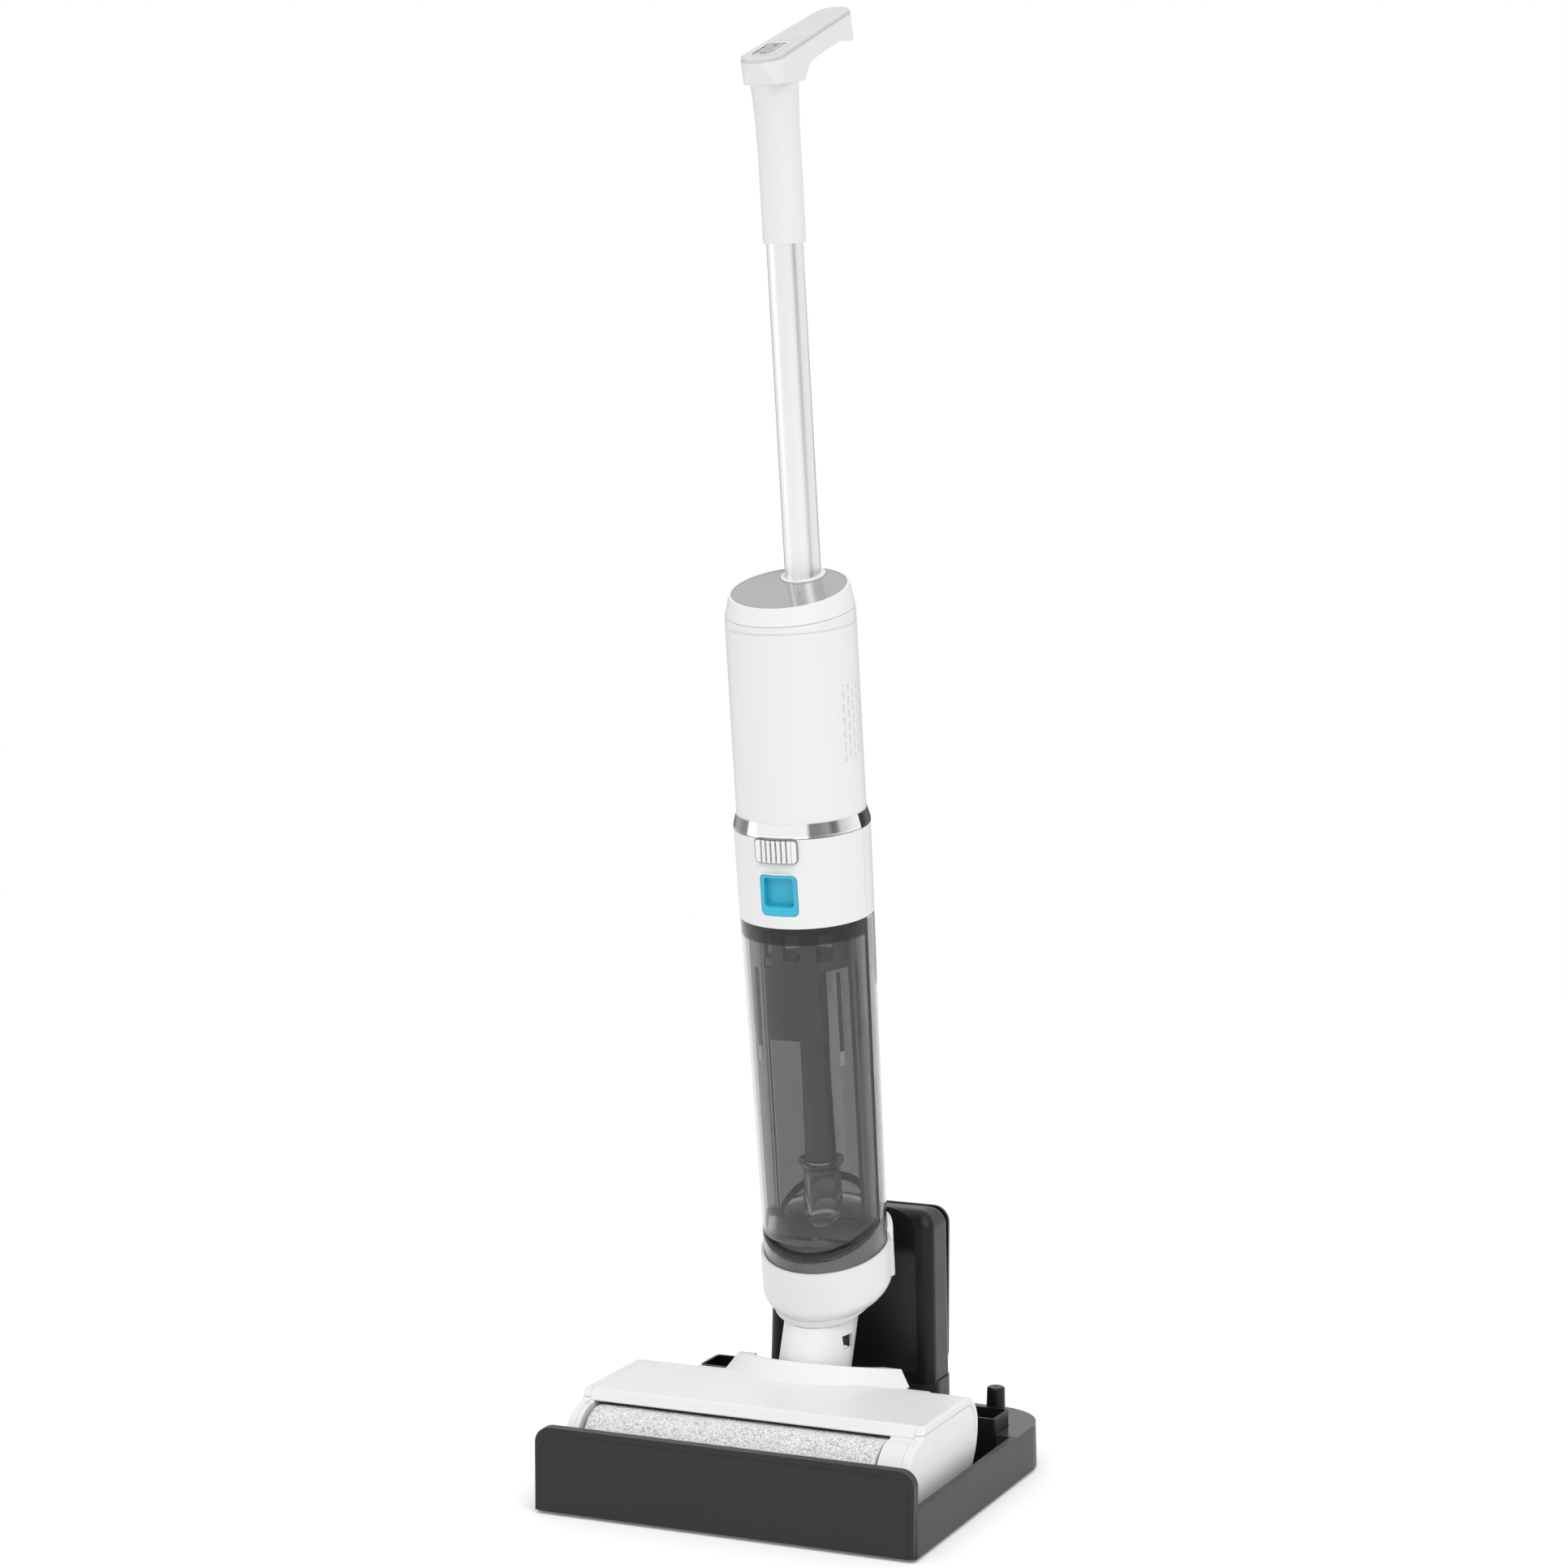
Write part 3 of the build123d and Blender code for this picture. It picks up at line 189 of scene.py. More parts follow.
class Finish(Tree):
    """A material on the Principled shader, with the numbers that are the same all over."""

    def __init__(self, name, colour, **fixed):
        self.material = bpy.data.materials.new(name)
        self.material.use_nodes = True
        self.tree = self.material.node_tree
        self.shader = self.tree.nodes["Principled BSDF"]
        self.colour = colour
        self.shader.inputs["Base Color"].default_value = (*colour, 1)
        for socket, value in fixed.items():
            self.shader.inputs[socket.replace("_", " ")].default_value = value
        self.place = self.node("ShaderNodeTexCoord", {}, {}, "Object")

    def feed(self, socket, wire):
        self.tree.links.new(wire.socket, self.shader.inputs[socket])

    def up_body(self):
        """Places measured from the body's own leaning axis: across, back and up."""
        shift = (0, -FOOT_Y * math.cos(LEAN), FOOT_Y * math.sin(LEAN))
        return self.node("ShaderNodeMapping", {},
                         {"Vector": self.place, "Location": shift, "Rotation": (-LEAN, 0, 0)})

    def round_body(self):
        """The angle from the body's front, alike on both sides, and the height up the body."""
        across, back, up = self.parts(self.up_body())
        angle = self.node("ShaderNodeMath", {"operation": "ARCTAN2"},
                          {0: across.size(), 1: back * -1.0})
        return angle, up

    def noise(self, size, detail=2.0, stretch=(1, 1, 1), vector=None):
        """Cloudy noise between 0 and 1 whose patches are about size metres wide."""
        spread = self.node("ShaderNodeMapping", {},
                           {"Vector": vector or self.place, "Scale": stretch})
        return self.node("ShaderNodeTexNoise", {},
                         {"Vector": spread, "Scale": 1 / size, "Detail": detail})

    def tint(self, wire, colour):
        """Base colour that turns from the finish's own colour to another by a mask."""
        start = self.shader.inputs["Base Color"]
        first = Wire(self, start.links[0].from_socket) if start.links else (*self.colour, 1)
        mix = self.node("ShaderNodeMix", {"data_type": "RGBA"},
                        {0: wire, 6: first, 7: (*colour, 1)}, 2)
        self.feed("Base Color", mix)

    def bump(self, height, depth):
        """Raises the surface by height times depth metres."""
        under = self.shader.inputs["Normal"]
        inputs = {"Height": height, "Distance": depth, "Strength": 1.0}
        if under.links:
            inputs["Normal"] = Wire(self, under.links[0].from_socket)
        self.feed("Normal", self.node("ShaderNodeBump", {}, inputs))

    def moulded(self, grain=0.0009, depth=0.00001, rough=0.3, spread=0.12, patch=0.03):
        """The skin of moulded plastic: a fine even grain and roughness that drifts slowly."""
        self.bump(self.noise(grain, 1.0), depth)
        self.feed("Roughness", self.noise(patch, 3.0) * spread + (rough - spread / 2))
        return self


def wear(finish, *names):
    """Gives CAD pieces a finish."""
    for name in names:
        for slot in nodes[name].material_slots:
            slot.material = finish.material
    print(finish.material.name, "on", *names)


def inside_outline(side_gap, top_gap, corner):
    """How far a point lies inside an outline, from its gaps to two sides with a round corner."""
    past_side = (corner - side_gap).most(0.0)
    past_top = (corner - top_gap).most(0.0)
    reach = past_side.maths("SQRT", past_side * past_side + past_top * past_top)
    return (corner - reach).least(side_gap).least(top_gap)


# %% [markdown]
# ## The sky
# A mirror shows whatever stands round it, and in an even white sky chrome just looks white. The
# sky is white where it is seen directly or through clear plastic. In lighting and reflections it
# is softer, with a dark curtain behind the machine that draws its edges, and a dark strip to one
# side, as black cards do in a real studio.

# %% Sky
class Sky(Tree):
    """The surround, white where it is looked at and shaped where it is reflected."""

    def __init__(self):
        self.world = bpy.data.worlds.new("studio_sky")
        self.world.use_nodes = True
        self.tree = self.world.node_tree
        self.back = self.tree.nodes["Background"]
        self.towards = self.node("ShaderNodeTexCoord", {}, {}, "Generated")

    def faces(self, direction):
        """How nearly a ray points in a direction: 1 along it, 0 across it."""
        return self.node("ShaderNodeVectorMath", {"operation": "DOT_PRODUCT"},
                         {0: self.towards, 1: direction}, "Value")


CURTAIN_WAY, CARD_WAY = (-0.397, 0.918, 0.0), (0.978, -0.208, 0.0)
sky = Sky()
skyward = sky.parts(sky.towards)[2]
curtain = sky.faces(CURTAIN_WAY).above(0.84, 0.16) * (1 - skyward.above(0.05, 0.03))
card = sky.faces(CARD_WAY).above(0.975, 0.015)
ray = sky.node("ShaderNodeLightPath", {}, {}).socket.node.outputs
mirrored = Wire(sky, ray["Is Glossy Ray"])
glow = (0.62 + mirrored * 0.36 - curtain * (mirrored * 0.50 + 0.30)
        - card * (mirrored * 0.70 + 0.05))
seen = Wire(sky, ray["Is Camera Ray"]).most(Wire(sky, ray["Is Transmission Ray"]))
strength = glow * (1 - seen) + seen
sky.tree.links.new(strength.socket, sky.back.inputs["Strength"])
sky.back.inputs["Color"].default_value = (1, 1, 1, 1)
bpy.context.scene.world = sky.world
print("sky nodes:", len(sky.tree.nodes))

# %% [markdown]
# ## White shells
# The head, the neck, the cup, the body and the grip are ABS mouldings in one cool white. Moulded
# white is never one flat value: the tool leaves an orange-peel skin a millimetre wide, and handling
# leaves the gloss uneven. A coat would look wet, so a mid roughness with slow drift is used.

# %% White plastic
def white(name):
    finish = Finish(name, (0.775, 0.778, 0.784), Specular_IOR_Level=0.40)
    finish.moulded(grain=0.0011, depth=0.000006, rough=0.36, spread=0.08, patch=0.05)
    finish.tint(finish.noise(0.08, 2.0) * 0.5, (0.750, 0.753, 0.760))
    return finish


white_plastic = white("white_plastic")
wear(white_plastic, "head_cover", "neck_shell", "neck_release", "cup_shell", "swivel_hub",
     "tank_head", "top_collar", "hinge_pins")

# %% [markdown]
# The body shell has two faint marks that are too fine for CAD: a parting groove below the
# shoulder, and rows of blind dimples that fade out above the air slots. Both are drawn as bump in
# the body's own leaning coordinates, so they follow the shell when the machine reclines. The
# dimples also get painted shade in their hollows.

# %% Body shell
GROOVE_LOW, GROOVE_HIGH = 0.6540, 0.6549       # parting groove, up the body
DIMPLE_LOW, DIMPLE_HIGH = 0.556, 0.612         # rows of dimples
DIMPLE_TURN, DIMPLE_RISE = 7, 0.0095           # degrees round, metres up
shell_white = white("shell_white")
around, up = shell_white.round_body()
shell_white.bump(up.between(GROOVE_LOW, GROOVE_HIGH, 0.0003) * -1.0, 0.0005)
column = around * (math.degrees(1) / DIMPLE_TURN) + 0.43
lane = (column.maths("FRACT", column) - 0.5).size()
odd = column.maths("MODULO", column.maths("FLOOR", column), 2.0)
row = (up - 0.524) * (1 / DIMPLE_RISE) + odd * 0.5
gate = (row.maths("FRACT", row) - 0.5).size()
dimple = (1 - lane.above(0.16, 0.03)) * (1 - gate.above(0.30, 0.04))
field = around.between(1.13, 1.82, 0.02) * up.between(DIMPLE_LOW, DIMPLE_HIGH, 0.0005)
shell_white.bump(dimple * field * -1.0, 0.0004)
# painted shade: the dimples' hollows are darkened in colour
shell_white.tint(dimple * field * 0.35, (0.55, 0.555, 0.56))
wear(shell_white, "body_shell", "rear_spine")

# %% [markdown]
# The end caps of the head carry a thin line that runs inside their outline and round its upper
# back corner. It is a shut line between the cap and its inlay, so it is a narrow groove, placed
# from the cap's own box, and the groove is darkened with painted shade.

# %% End caps
CAP_CORNER = 0.024           # round upper back corner of a cap
cap_white = white("cap_white")
low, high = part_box("end_cap_right")
depth_wise, tall = cap_white.parts(cap_white.place)[1:]
inside = inside_outline(high[1] - depth_wise, high[2] - tall, CAP_CORNER)
shut_line = inside.between(0.0060, 0.0066, 0.0002) * tall.above(0.054, 0.004)
cap_white.bump(shut_line * -1.0, 0.0005)
# painted shade: the shut line's groove is darkened in colour
cap_white.tint(shut_line * 0.4, (0.60, 0.605, 0.61))
wear(cap_white, "end_cap_left", "end_cap_right")
print("end caps are", round((high[1] - low[1]) * 1000), "mm deep")

# %% [markdown]
# ## The grip
# The grip is white too, with a light grey soft-touch skin laid into its top face. Soft-touch
# rubber is dull and has a fine stipple. The mask is the height above a line that follows the top
# of the grip, which gives the crisp edge of a second moulding shot.

# %% Grip
GRIP_FRONT_Y, GRIP_FRONT_H = -0.0076, 1.0584   # ends of the grip's top line, up the body
GRIP_BACK_Y, GRIP_BACK_H = 0.1500, 1.0877
GRIP_SLOPE = (GRIP_BACK_H - GRIP_FRONT_H) / (GRIP_BACK_Y - GRIP_FRONT_Y)
grip_white = white("grip_white")
back, up = grip_white.parts(grip_white.up_body())[1:]
over_line = up - (GRIP_FRONT_H + (back - GRIP_FRONT_Y) * GRIP_SLOPE)
skin = over_line.above(-0.0032, 0.00012) * back.above(-0.004, 0.0002)
grip_white.tint(skin, (0.52, 0.525, 0.53))
grip_white.feed("Roughness", skin * 0.3 + 0.33)
grip_white.bump(grip_white.noise(0.0005, 1.0) * skin, 0.000012)
grip_white.bump(over_line.between(-0.0036, -0.0030, 0.0002) * -1.0, 0.0003)
wear(grip_white, "grip_shell")

# %% [markdown]
# ## Dock plastic
# The dock is charcoal ABS with a spark-eroded grain, dull on its walls and polished on the flat
# deck behind the head. The polish is a mask on height and on place, and feeds roughness alone.

# %% Charcoal
def charcoal(name, base=0.018, rough=0.40, gloss=0.27):
    finish = Finish(name, (base, base, base * 1.06), Specular_IOR_Level=gloss)
    finish.moulded(grain=0.0005, depth=0.00003, rough=rough, spread=0.10, patch=0.04)
    finish.tint(finish.noise(0.06, 3.0) * 0.6, (base * 1.35, base * 1.35, base * 1.4))
    return finish


# %% Tray
TRAY_CORNER, LINE_INSET = 0.020, 0.0050        # line that runs inside the front wall's edge
DECK_Y, DECK_Z = 0.066, 0.036                  # front edge and height of the flat deck
tray_charcoal = charcoal("tray_charcoal")
low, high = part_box("dock_tray")
across, back, tall = tray_charcoal.parts(tray_charcoal.place)
inset = inside_outline(high[0] - across.size(), high[2] - tall, TRAY_CORNER)
front_face = 1 - back.above(low[1] + 0.0012, 0.0004)
line = inset.between(LINE_INSET, LINE_INSET + 0.0008, 0.0003)
tray_charcoal.bump(line * front_face * -1.0, 0.0006)
polish = back.above(DECK_Y, 0.002) * tall.between(DECK_Z - 0.0008, DECK_Z + 0.0008, 0.0004)
tray_charcoal.feed("Roughness", tray_charcoal.noise(0.04, 3.0) * 0.1 + 0.33 - polish * 0.22)
wear(tray_charcoal, "dock_tray")

# %% Tower and base
tower_charcoal = charcoal("tower_charcoal", 0.008, 0.30, 0.22)
wear(tower_charcoal, "tower_shell", "tower_back_cover", "accessory_box", "brush_peg",
     "filter_holder")
base_charcoal = charcoal("base_charcoal", 0.016, 0.55)
wear(base_charcoal, "dock_base_plate")

# %% [markdown]
# ## Clear and smoked plastic
# The dirty water tank is smoked SAN with walls two millimetres thick, so light has to bend
# through two skins: full transmission with a real index gives the bright rims at its sides. Only
# a few wash marks are rougher than the rest. The tank's top edge is darker, where its seal sits.

# %% Clear plastics
def clear(name, colour, rough=0.0):
    finish = Finish(name, colour, Transmission_Weight=1.0, IOR=1.45)
    finish.feed("Roughness", finish.noise(0.012, 4.0).above(0.66, 0.03) * 0.012 + rough)
    finish.bump(finish.noise(0.05, 1.0), 0.000004)
    return finish


TANK_EDGE_H = 0.4235         # lower edge of the dark band, up the body
smoked = clear("smoked_clear", (0.66, 0.66, 0.67))
up = smoked.parts(smoked.up_body())[2]
smoked.tint(up.above(TANK_EDGE_H, 0.0004), (0.10, 0.10, 0.105))
wear(smoked, "dirty_tank")
water_clear = clear("water_clear", (0.50, 0.50, 0.51))
wear(water_clear, "clean_tank")
skirt = clear("frosted_skirt", (0.92, 0.925, 0.93), rough=0.22)
wear(skirt, "tank_cradle")
stub = clear("stub_smoke", (0.62, 0.62, 0.63), rough=0.12)
wear(stub, "inlet_stub")

# %% [markdown]
# ## Metal
# Three metals show. The tube is anodised aluminium, blasted and so satin, with hair-fine lines
# from drawing it. The ring is chrome plate, nearly a mirror; a painted dark reflection lies on its
# flanks, and its ends, where it meets the back of the body, are painted black as a dark reflection.
# The screws are plain steel and the contacts are gilt.

# %% Tube
tube_metal = Finish("satin_aluminium", (0.80, 0.805, 0.82), Metallic=1.0)
lines = tube_metal.noise(0.0004, 2.0, (1, 1, 0.02), tube_metal.up_body())
tube_metal.feed("Roughness", lines * 0.14 + 0.24)
tube_metal.bump(lines, 0.000008)
wear(tube_metal, "handle_tube")

# %% Plated finishes
RING_FLANK, RING_END = 0.50, 1.42              # angles from the ring's front, in radians


def plated(name, colour, patch, detail, spread, rough, ripple):
    """Metal plate over plastic or brass: rougher in patches, with a faint ripple."""
    finish = Finish(name, colour, Metallic=1.0)
    finish.feed("Roughness", finish.noise(patch, detail) * spread + rough)
    finish.bump(finish.noise(ripple, 1.0), 0.00001)
    return finish


chrome = plated("chrome_plate", (0.88, 0.885, 0.90), 0.015, 4.0, 0.06, 0.05, 0.02)
wear(chrome, "keypad_bezel")
smoked_chrome = plated("smoked_chrome", (0.24, 0.24, 0.25), 0.004, 3.0, 0.08, 0.12, 0.01)
gilt = plated("contact_gilt", (0.78, 0.62, 0.34), 0.001, 3.0, 0.2, 0.2, 0.0004)
wear(gilt, "charge_contacts", "charging_pins")

ring_chrome = plated("ring_chrome", (0.88, 0.885, 0.90), 0.015, 4.0, 0.06, 0.05, 0.02)
around = ring_chrome.round_body()[0]
# painted reflection: the flanks are darkened in colour as if they mirrored a dark surround, and
# past RING_END the ring is painted black as a dark reflection
painted_reflection = around.above(RING_FLANK, 0.04) * (1 - around.above(1.00, 0.42))
ring_chrome.tint(painted_reflection * 0.85, (0.10, 0.10, 0.11))
ring_chrome.tint(around.above(RING_END, 0.01), (0.012, 0.012, 0.013))
wear(ring_chrome, "chrome_ring")

# %% Steel
steel = Finish("plain_steel", (0.52, 0.52, 0.53), Metallic=1.0)
turned = steel.noise(0.0003, 2.0, (0.1, 1, 1))
steel.feed("Roughness", turned * 0.2 + 0.3)
steel.bump(turned, 0.00001)
wear(steel, "dock_screws", "head_screws", "water_bar")

# %% [markdown]
# ## Dark inner pieces, rubber and small parts
# Inner mouldings are plain black or grey plastic, and the seals and feet are rubber, which is
# duller and carries fine bloom. Each gets its own grain, so that none is one flat colour.

# %% Inner pieces
RIB_PITCH, RIB_REACH = 0.004, 0.0128           # ribs of the filter latch


def plastic(name, colour, rough, *names, grain=0.0006, depth=0.00002):
    finish = Finish(name, colour)
    finish.moulded(grain=grain, depth=depth, rough=rough)
    finish.tint(finish.noise(0.02, 3.0) * 0.7, tuple(min(1.0, c * 1.25) for c in colour))
    wear(finish, *names)
    return finish


inner_dark = plastic("inner_dark", (0.030, 0.030, 0.033), 0.30, "inlet_tube", "strainer_block")
plastic("float_grey", (0.09, 0.09, 0.095), 0.4, "tank_float")
plastic("inner_black", (0.022, 0.022, 0.024), 0.45, "head_chassis", "suction_duct",
        "roller_gearmotor", "motor_housing", "battery_frame", "power_socket", "roller_core")
plastic("rubber", (0.016, 0.016, 0.017), 0.62, "dock_feet", "roller_scraper",
        "floor_squeegee", "tank_seal", "wheel_left", "wheel_right", grain=0.0003)
latch_white = plastic("latch_white", (0.74, 0.745, 0.755), 0.30, "filter_latch")
across = latch_white.parts(latch_white.up_body())[0]
# painted shade: the gaps between the latch's ribs are darkened in colour
rib = across * (1 / RIB_PITCH) + 0.25
groove = 1 - (rib.maths("FRACT", rib) - 0.5).size().above(0.17, 0.05)
latch_white.tint(groove * (1 - across.size().above(RIB_REACH, 0.0002)) * 0.8,
                 (0.16, 0.16, 0.17))
plastic("filter_felt", (0.30, 0.30, 0.31), 0.9, "filter_cartridge", grain=0.0015, depth=0.0003)
plastic("fan_grey", (0.45, 0.45, 0.47), 0.35, "impeller")
plastic("button_blue", (0.022, 0.40, 0.56), 0.30, "tank_release", grain=0.0005)
plastic("board_green", (0.010, 0.11, 0.05), 0.4, "main_board")
plastic("cell_wrap", (0.05, 0.16, 0.42), 0.3, "battery_cells")
plastic("panel_grey", (0.56, 0.565, 0.57), 0.55, "grip_panel", grain=0.0004)
plastic("key_grey", (0.36, 0.365, 0.37), 0.35, "power_button", "mode_button",
        "cleaning_button", grain=0.0004)

# %% [markdown]
# The display lens is a glossy grey window. Its numbers only light up in use, so it is blank: a
# tinted acrylic plate with a coat over it and the faint smears that a cloth leaves.

# %% Display lens
lens = Finish("display_smoke", (0.20, 0.20, 0.21), Coat_Weight=1.0, Coat_Roughness=0.02)
lens.feed("Roughness", lens.noise(0.015, 4.0) * 0.08 + 0.08)
lens.bump(lens.noise(0.03, 1.0), 0.00002)
wear(lens, "display_lens")

# %% [markdown]
# ## The roller's pile
# The roller wears a sleeve of cut microfibre pile. It could be hair, but thousands of hairs are
# slow and don't export. A tube of small quads pushed out by a fine texture gives real tufts that
# catch light, and the fibres between them are left to the material. It is a drawn circle,
# extruded, cut into rings, given its wall, and then displaced.

# %% Sleeve mesh
PILE_SIDES, PILE_CUTS = 176, 226               # small, nearly square faces
low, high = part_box("roller_pile")
pile_radius = (high[2] - low[2]) / 2
pile_y, pile_z = (low[1] + high[1]) / 2, (low[2] + high[2]) / 2
bpy.ops.object.select_all(action="DESELECT")
bpy.ops.mesh.primitive_circle_add(vertices=PILE_SIDES, radius=pile_radius - 0.0008,
                                  location=(low[0], pile_y, pile_z), rotation=(0, math.pi / 2, 0))
sleeve = bpy.context.object
sleeve.name = "roller_sleeve"
bpy.ops.object.transform_apply(location=True, rotation=True, scale=True)
bpy.ops.object.mode_set(mode="EDIT")
bpy.ops.mesh.select_all(action="SELECT")
bpy.ops.mesh.extrude_region_move(TRANSFORM_OT_translate={"value": (high[0] - low[0], 0, 0)})
bpy.ops.object.mode_set(mode="OBJECT")
print("roller radius:", round(pile_radius * 1000, 1), "mm")


# %% Cut into rings
def choose_edges(piece, test):
    """Selects the edges whose two ends pass a test, and nothing else."""
    bpy.context.view_layer.objects.active = piece
    bpy.ops.object.mode_set(mode="EDIT")
    bpy.ops.mesh.select_mode(type="EDGE")
    bpy.ops.mesh.select_all(action="DESELECT")
    bpy.ops.object.mode_set(mode="OBJECT")
    points = piece.data.vertices
    chosen = 0
    for edge in piece.data.edges:
        first, second = (points[i].co for i in edge.vertices)
        edge.select = test(first, second)
        chosen += edge.select
    bpy.ops.object.mode_set(mode="EDIT")
    return chosen


long_edges = choose_edges(sleeve, lambda a, b: abs(a.x - b.x) > 0.1)
bpy.ops.mesh.subdivide(number_cuts=PILE_CUTS)
bpy.ops.object.mode_set(mode="OBJECT")
print("long edges cut into rings:", long_edges)

# %% Sleeve wall and tufts
ends = (low[0], high[0])
choose_edges(sleeve, lambda a, b: any(abs(a.x - e) < 1e-5 and abs(b.x - e) < 1e-5 for e in ends))
bpy.ops.mesh.extrude_region_move()
bpy.ops.transform.resize(value=(1, 0.86, 0.86), center_override=(0, pile_y, pile_z))
bpy.ops.mesh.bridge_edge_loops()
bpy.ops.mesh.select_all(action="SELECT")
bpy.ops.mesh.normals_make_consistent(inside=False)
bpy.ops.object.mode_set(mode="OBJECT")
outer = sleeve.vertex_groups.new(name="pile_side")
outer.add([v.index for v in sleeve.data.vertices
           if math.hypot(v.co.y - pile_y, v.co.z - pile_z) > pile_radius * 0.95], 1.0, "REPLACE")
for size, height in ((0.0022, 0.0014), (0.0060, 0.0008)):      # tufts, then a slow unevenness
    grain = bpy.data.textures.new("pile_tufts", "CLOUDS")
    grain.noise_scale = size
    grain.noise_depth = 2
    push = sleeve.modifiers.new("tufts", "DISPLACE")
    push.texture = grain
    push.texture_coords = "LOCAL"
    push.strength = height
    push.mid_level = 0.5
    push.vertex_group = "pile_side"
    bpy.ops.object.modifier_apply(modifier=push.name)
bpy.ops.object.shade_smooth()
print("sleeve faces:", len(sleeve.data.polygons))

# %% Pile finish
pile = Finish("microfibre_pile", (0.66, 0.66, 0.67), Sheen_Weight=0.35, Sheen_Roughness=0.5,
              Roughness=0.95)
tufts = pile.noise(0.0016, 3.0)
strands = pile.noise(0.0005, 2.0)
pile.tint(tufts.above(0.50, 0.05), (0.90, 0.90, 0.90))
pile.tint(pile.noise(0.0022, 2.0).above(0.60, 0.03) * 0.7, (0.34, 0.34, 0.35))
pile.tint(strands.above(0.60, 0.06) * 0.5, (0.36, 0.36, 0.37))
pile.bump(tufts, 0.0008)
pile.bump(strands, 0.0003)
sleeve.data.materials.append(pile.material)
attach(sleeve, "roller")
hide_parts("roller_pile")
print(sleeve.name, "stands for roller_pile")

# %% [markdown]
# ## Small pieces on the leaning body
# Three small details are too fine or too free for the CAD: the plated rim round the filter latch,
# the two guide rails inside the dirty water tank and the glyphs on the keys. They are modelled
# upright, as if the body stood straight, and then leaned with it by one helper.

# %% Helpers for small pieces
def lean_back(piece):
    """Leans a piece that was drawn upright on the body's own axis, and applies its place."""
    piece.rotation_euler = (LEAN, 0, 0)
    piece.location = (0, FOOT_Y, 0)
    bpy.ops.object.select_all(action="DESELECT")
    piece.select_set(True)
    bpy.context.view_layer.objects.active = piece
    bpy.ops.object.transform_apply(location=True, rotation=True, scale=True)


def shape(piece, kind, **settings):
    """Adds a modifier to a piece and applies it."""
    bpy.context.view_layer.objects.active = piece
    added = piece.modifiers.new(kind.lower(), kind)
    for name, value in settings.items():
        setattr(added, name, value)
    bpy.ops.object.modifier_apply(modifier=added.name)


def finish_piece(piece, body, finish):
    """Gives a new piece its finish, smooth faces, body and slot."""
    piece.data.materials.clear()
    piece.data.materials.append(finish.material)
    bpy.ops.object.select_all(action="DESELECT")
    piece.select_set(True)
    bpy.context.view_layer.objects.active = piece
    bpy.ops.object.shade_smooth_by_angle(angle=math.radians(35))
    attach(piece, body)
    print(piece.name, "rides on", body)


# %% [markdown]
# The latch's rim is a bent frame of smoky plated plastic. It starts as a flat rounded rectangle,
# is inset and opened into a frame, bent onto the body's cylinder with Cast, and thickened.

# %% Latch rim
RIM_W, RIM_H, RIM_CENTRE_H = 0.0356, 0.0192, 0.4953
BAND_R = 0.0504              # radius of the band that the rim lies on
bpy.ops.object.select_all(action="DESELECT")
bpy.ops.mesh.primitive_plane_add(size=1, location=(0, -BAND_R - 0.0002, RIM_CENTRE_H),
                                 rotation=(math.pi / 2, 0, 0))
rim_piece = bpy.context.object
rim_piece.name = "latch_rim"
rim_piece.scale = (RIM_W, RIM_H, 1)
bpy.ops.object.transform_apply(location=True, rotation=True, scale=True)
bpy.ops.object.mode_set(mode="EDIT")
bpy.ops.mesh.select_all(action="SELECT")
bpy.ops.mesh.bevel(offset=0.0045, segments=6, affect="VERTICES")
bpy.ops.mesh.select_all(action="SELECT")
bpy.ops.mesh.inset(thickness=0.0013, depth=0)
bpy.ops.mesh.delete(type="FACE")
bpy.ops.object.mode_set(mode="OBJECT")
choose_edges(rim_piece, lambda a, b: abs(a.x - b.x) > 0.01)
bpy.ops.mesh.subdivide(number_cuts=10)
bpy.ops.object.mode_set(mode="OBJECT")
shape(rim_piece, "CAST", cast_type="CYLINDER", factor=1.0, use_z=False, size=BAND_R,
      use_radius_as_size=False)
shape(rim_piece, "SOLIDIFY", thickness=0.0016, offset=1.0)
shape(rim_piece, "BEVEL", width=0.0003, segments=2)
reach = max(math.hypot(v.co.x, v.co.y) for v in rim_piece.data.vertices)
lean_back(rim_piece)
finish_piece(rim_piece, "dirty_tank", smoked_chrome)
print("latch rim reaches", round(reach * 1000, 1), "mm from the axis")

# %% [markdown]
# Each guide rail in the tank is a slim moulded bar with a pale foot, which lines the strainer up
# when it is pushed in. One function shapes a bar from a block, and each call makes its own mesh.

# %% Guide rails
RAIL_X = 0.0325


def rail(name, place, size, finish):
    """A slim upright bar with a sunk face."""
    bpy.ops.object.select_all(action="DESELECT")
    bpy.ops.mesh.primitive_cube_add(size=1, location=place)
    piece = bpy.context.object
    piece.name = name
    piece.scale = size
    bpy.ops.object.transform_apply(location=True, rotation=True, scale=True)
    bpy.ops.object.mode_set(mode="EDIT")
    bpy.ops.mesh.select_mode(type="FACE")
    bpy.ops.mesh.select_all(action="DESELECT")
    bpy.ops.object.mode_set(mode="OBJECT")
    for face in piece.data.polygons:
        face.select = face.normal.y < -0.9
    bpy.ops.object.mode_set(mode="EDIT")
    bpy.ops.mesh.inset(thickness=min(size[0], size[2]) * 0.22, depth=-0.0003)
    bpy.ops.object.mode_set(mode="OBJECT")
    shape(piece, "BEVEL", width=0.0003, segments=2)
    lean_back(piece)
    finish_piece(piece, "dirty_tank", finish)


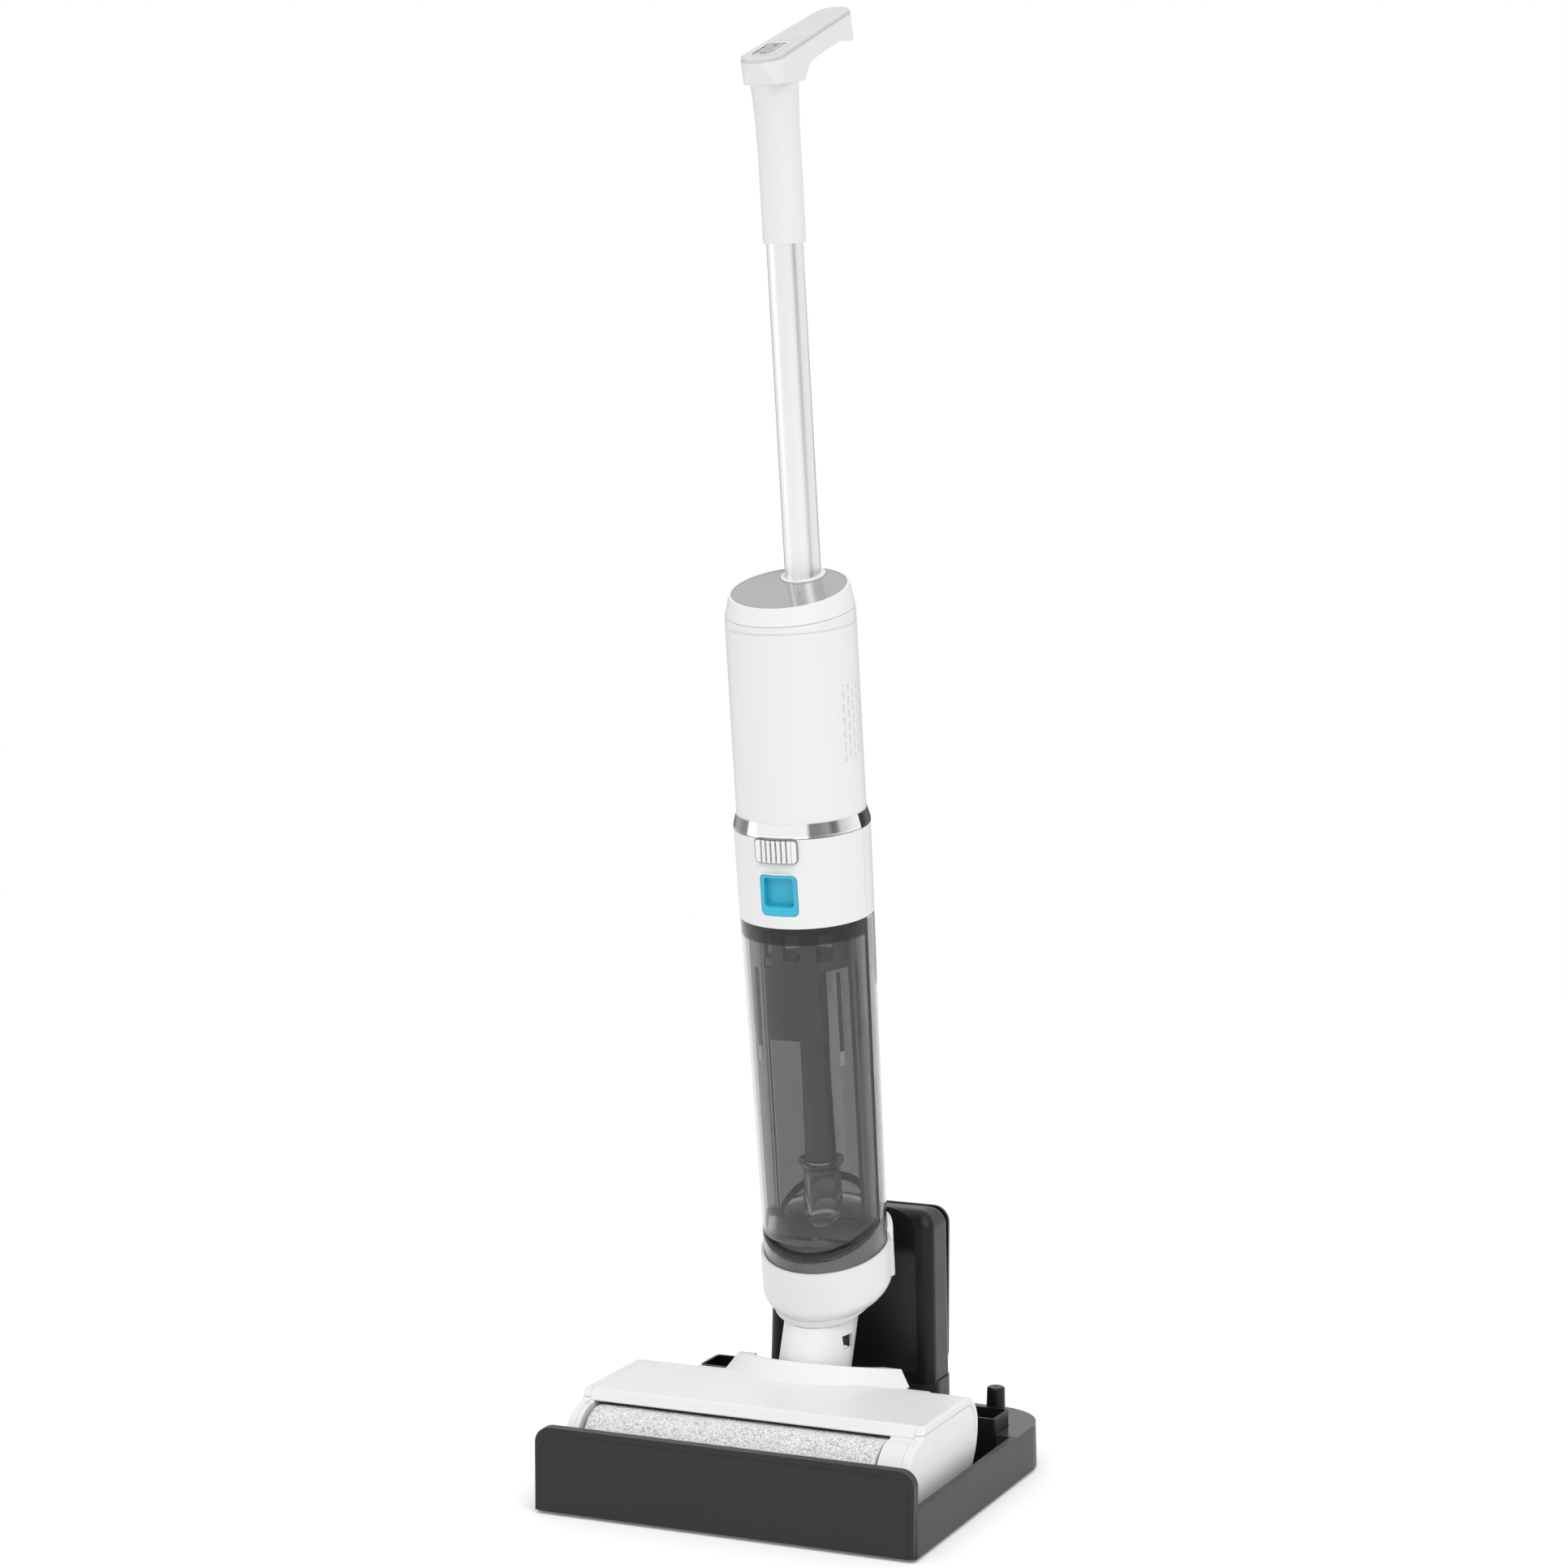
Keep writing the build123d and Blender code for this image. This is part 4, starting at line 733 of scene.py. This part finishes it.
pale_foot = plastic("pale_foot", (0.62, 0.62, 0.63), 0.4)
for side, name in ((-1, "left"), (1, "right")):
    rail(f"guide_rail_{name}", (side * RAIL_X, -0.0245, 0.368), (0.0022, 0.0030, 0.060),
         inner_dark)
    rail(f"guide_foot_{name}", (side * RAIL_X, -0.0246, 0.3325), (0.0026, 0.0034, 0.011),
         pale_foot)

# %% [markdown]
# The keys carry generic glyphs: a ring with a bar for power, bars for the mode and a double ring
# for self-cleaning. They stand a fraction of a millimetre proud, like pad printing, and ride on
# their own keys.

# %% Key tops
key_tilt = LEAN + math.atan(GRIP_SLOPE)
key_up = Vector((0, -math.sin(key_tilt), math.cos(key_tilt)))
ink = plastic("glyph_ink", (0.16, 0.16, 0.165), 0.5)


def key_top(node):
    """The middle of a key's top face."""
    low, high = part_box(node)
    middle = (low + high) / 2
    crest = max(v.co.dot(key_up) for v in nodes[node].data.vertices)
    return middle + key_up * (crest - middle.dot(key_up))


def body_of(node):
    """The body that a CAD node belongs to."""
    bodies = frame["record"]["behaviour"]["bodies"]
    return next(body for body, members in bodies.items() if node in members)


# %% Glyph strokes
def ring(x, y, radius, thickness, gap=None):
    """A thin ring, cut open above gap if one is given."""
    bpy.ops.object.select_all(action="DESELECT")
    bpy.ops.mesh.primitive_torus_add(major_radius=radius, minor_radius=thickness,
                                     major_segments=36, minor_segments=8, location=(x, y, 0))
    bpy.ops.object.transform_apply(location=True, rotation=True, scale=True)
    if gap:
        bpy.ops.object.mode_set(mode="EDIT")
        bpy.ops.mesh.select_all(action="SELECT")
        bpy.ops.mesh.bisect(plane_co=(0, gap, 0), plane_no=(0, 1, 0), clear_outer=True,
                            use_fill=True)
        bpy.ops.object.mode_set(mode="OBJECT")
    return bpy.context.object


def bar(x, y, width, height):
    """A flat bar with eased edges."""
    bpy.ops.object.select_all(action="DESELECT")
    bpy.ops.mesh.primitive_cube_add(size=1, location=(x, y, 0))
    bpy.context.object.scale = (width, height, 0.0003)
    bpy.ops.object.transform_apply(location=True, rotation=True, scale=True)
    shape(bpy.context.object, "BEVEL", width=0.00008, segments=2)
    return bpy.context.object


# %% Glyphs on the keys
def glyph(name, node, *made):
    """Joins strokes, drawn across and up the key in metres, and lays them on the key."""
    bpy.ops.object.select_all(action="DESELECT")
    for stroke in made:
        stroke.select_set(True)
    bpy.context.view_layer.objects.active = made[0]
    bpy.ops.object.join()
    sign = bpy.context.object
    sign.name = name
    sign.rotation_euler = (key_tilt, 0, 0)
    sign.location = key_top(node)
    bpy.ops.object.transform_apply(location=True, rotation=True, scale=True)
    finish_piece(sign, body_of(node), ink)


glyph("power_glyph", "power_button", ring(0, 0, 0.0022, 0.00022, gap=0.0016),
      bar(0, 0.0019, 0.0005, 0.0020))
glyph("mode_glyph", "mode_button", bar(-0.002, 0, 0.0006, 0.0022), bar(0, 0, 0.0006, 0.0034),
      bar(0.002, 0, 0.0006, 0.0022))
glyph("cleaning_glyph", "cleaning_button", ring(0, -0.0003, 0.0018, 0.00022),
      ring(0, -0.0003, 0.0008, 0.00018))

# %% [markdown]
# ## The floor of the studio
# The floor is a pale matt board. It has a slight mottle, so that the light on it isn't dead flat.

# %% Floor finish
board = Finish("floor_board", (0.95, 0.95, 0.95), Emission_Color=(1, 1, 1, 1),
               Emission_Strength=0.13)
board.feed("Roughness", board.noise(0.2, 2.0) * 0.1 + 0.7)
board.tint(board.noise(0.6, 2.0) * 0.4, (0.93, 0.93, 0.93))
floor.data.materials.append(board.material)
print(floor.name, "wears", board.material.name)

# %% [markdown]
# ## Finish

# %% End
print("scene built")
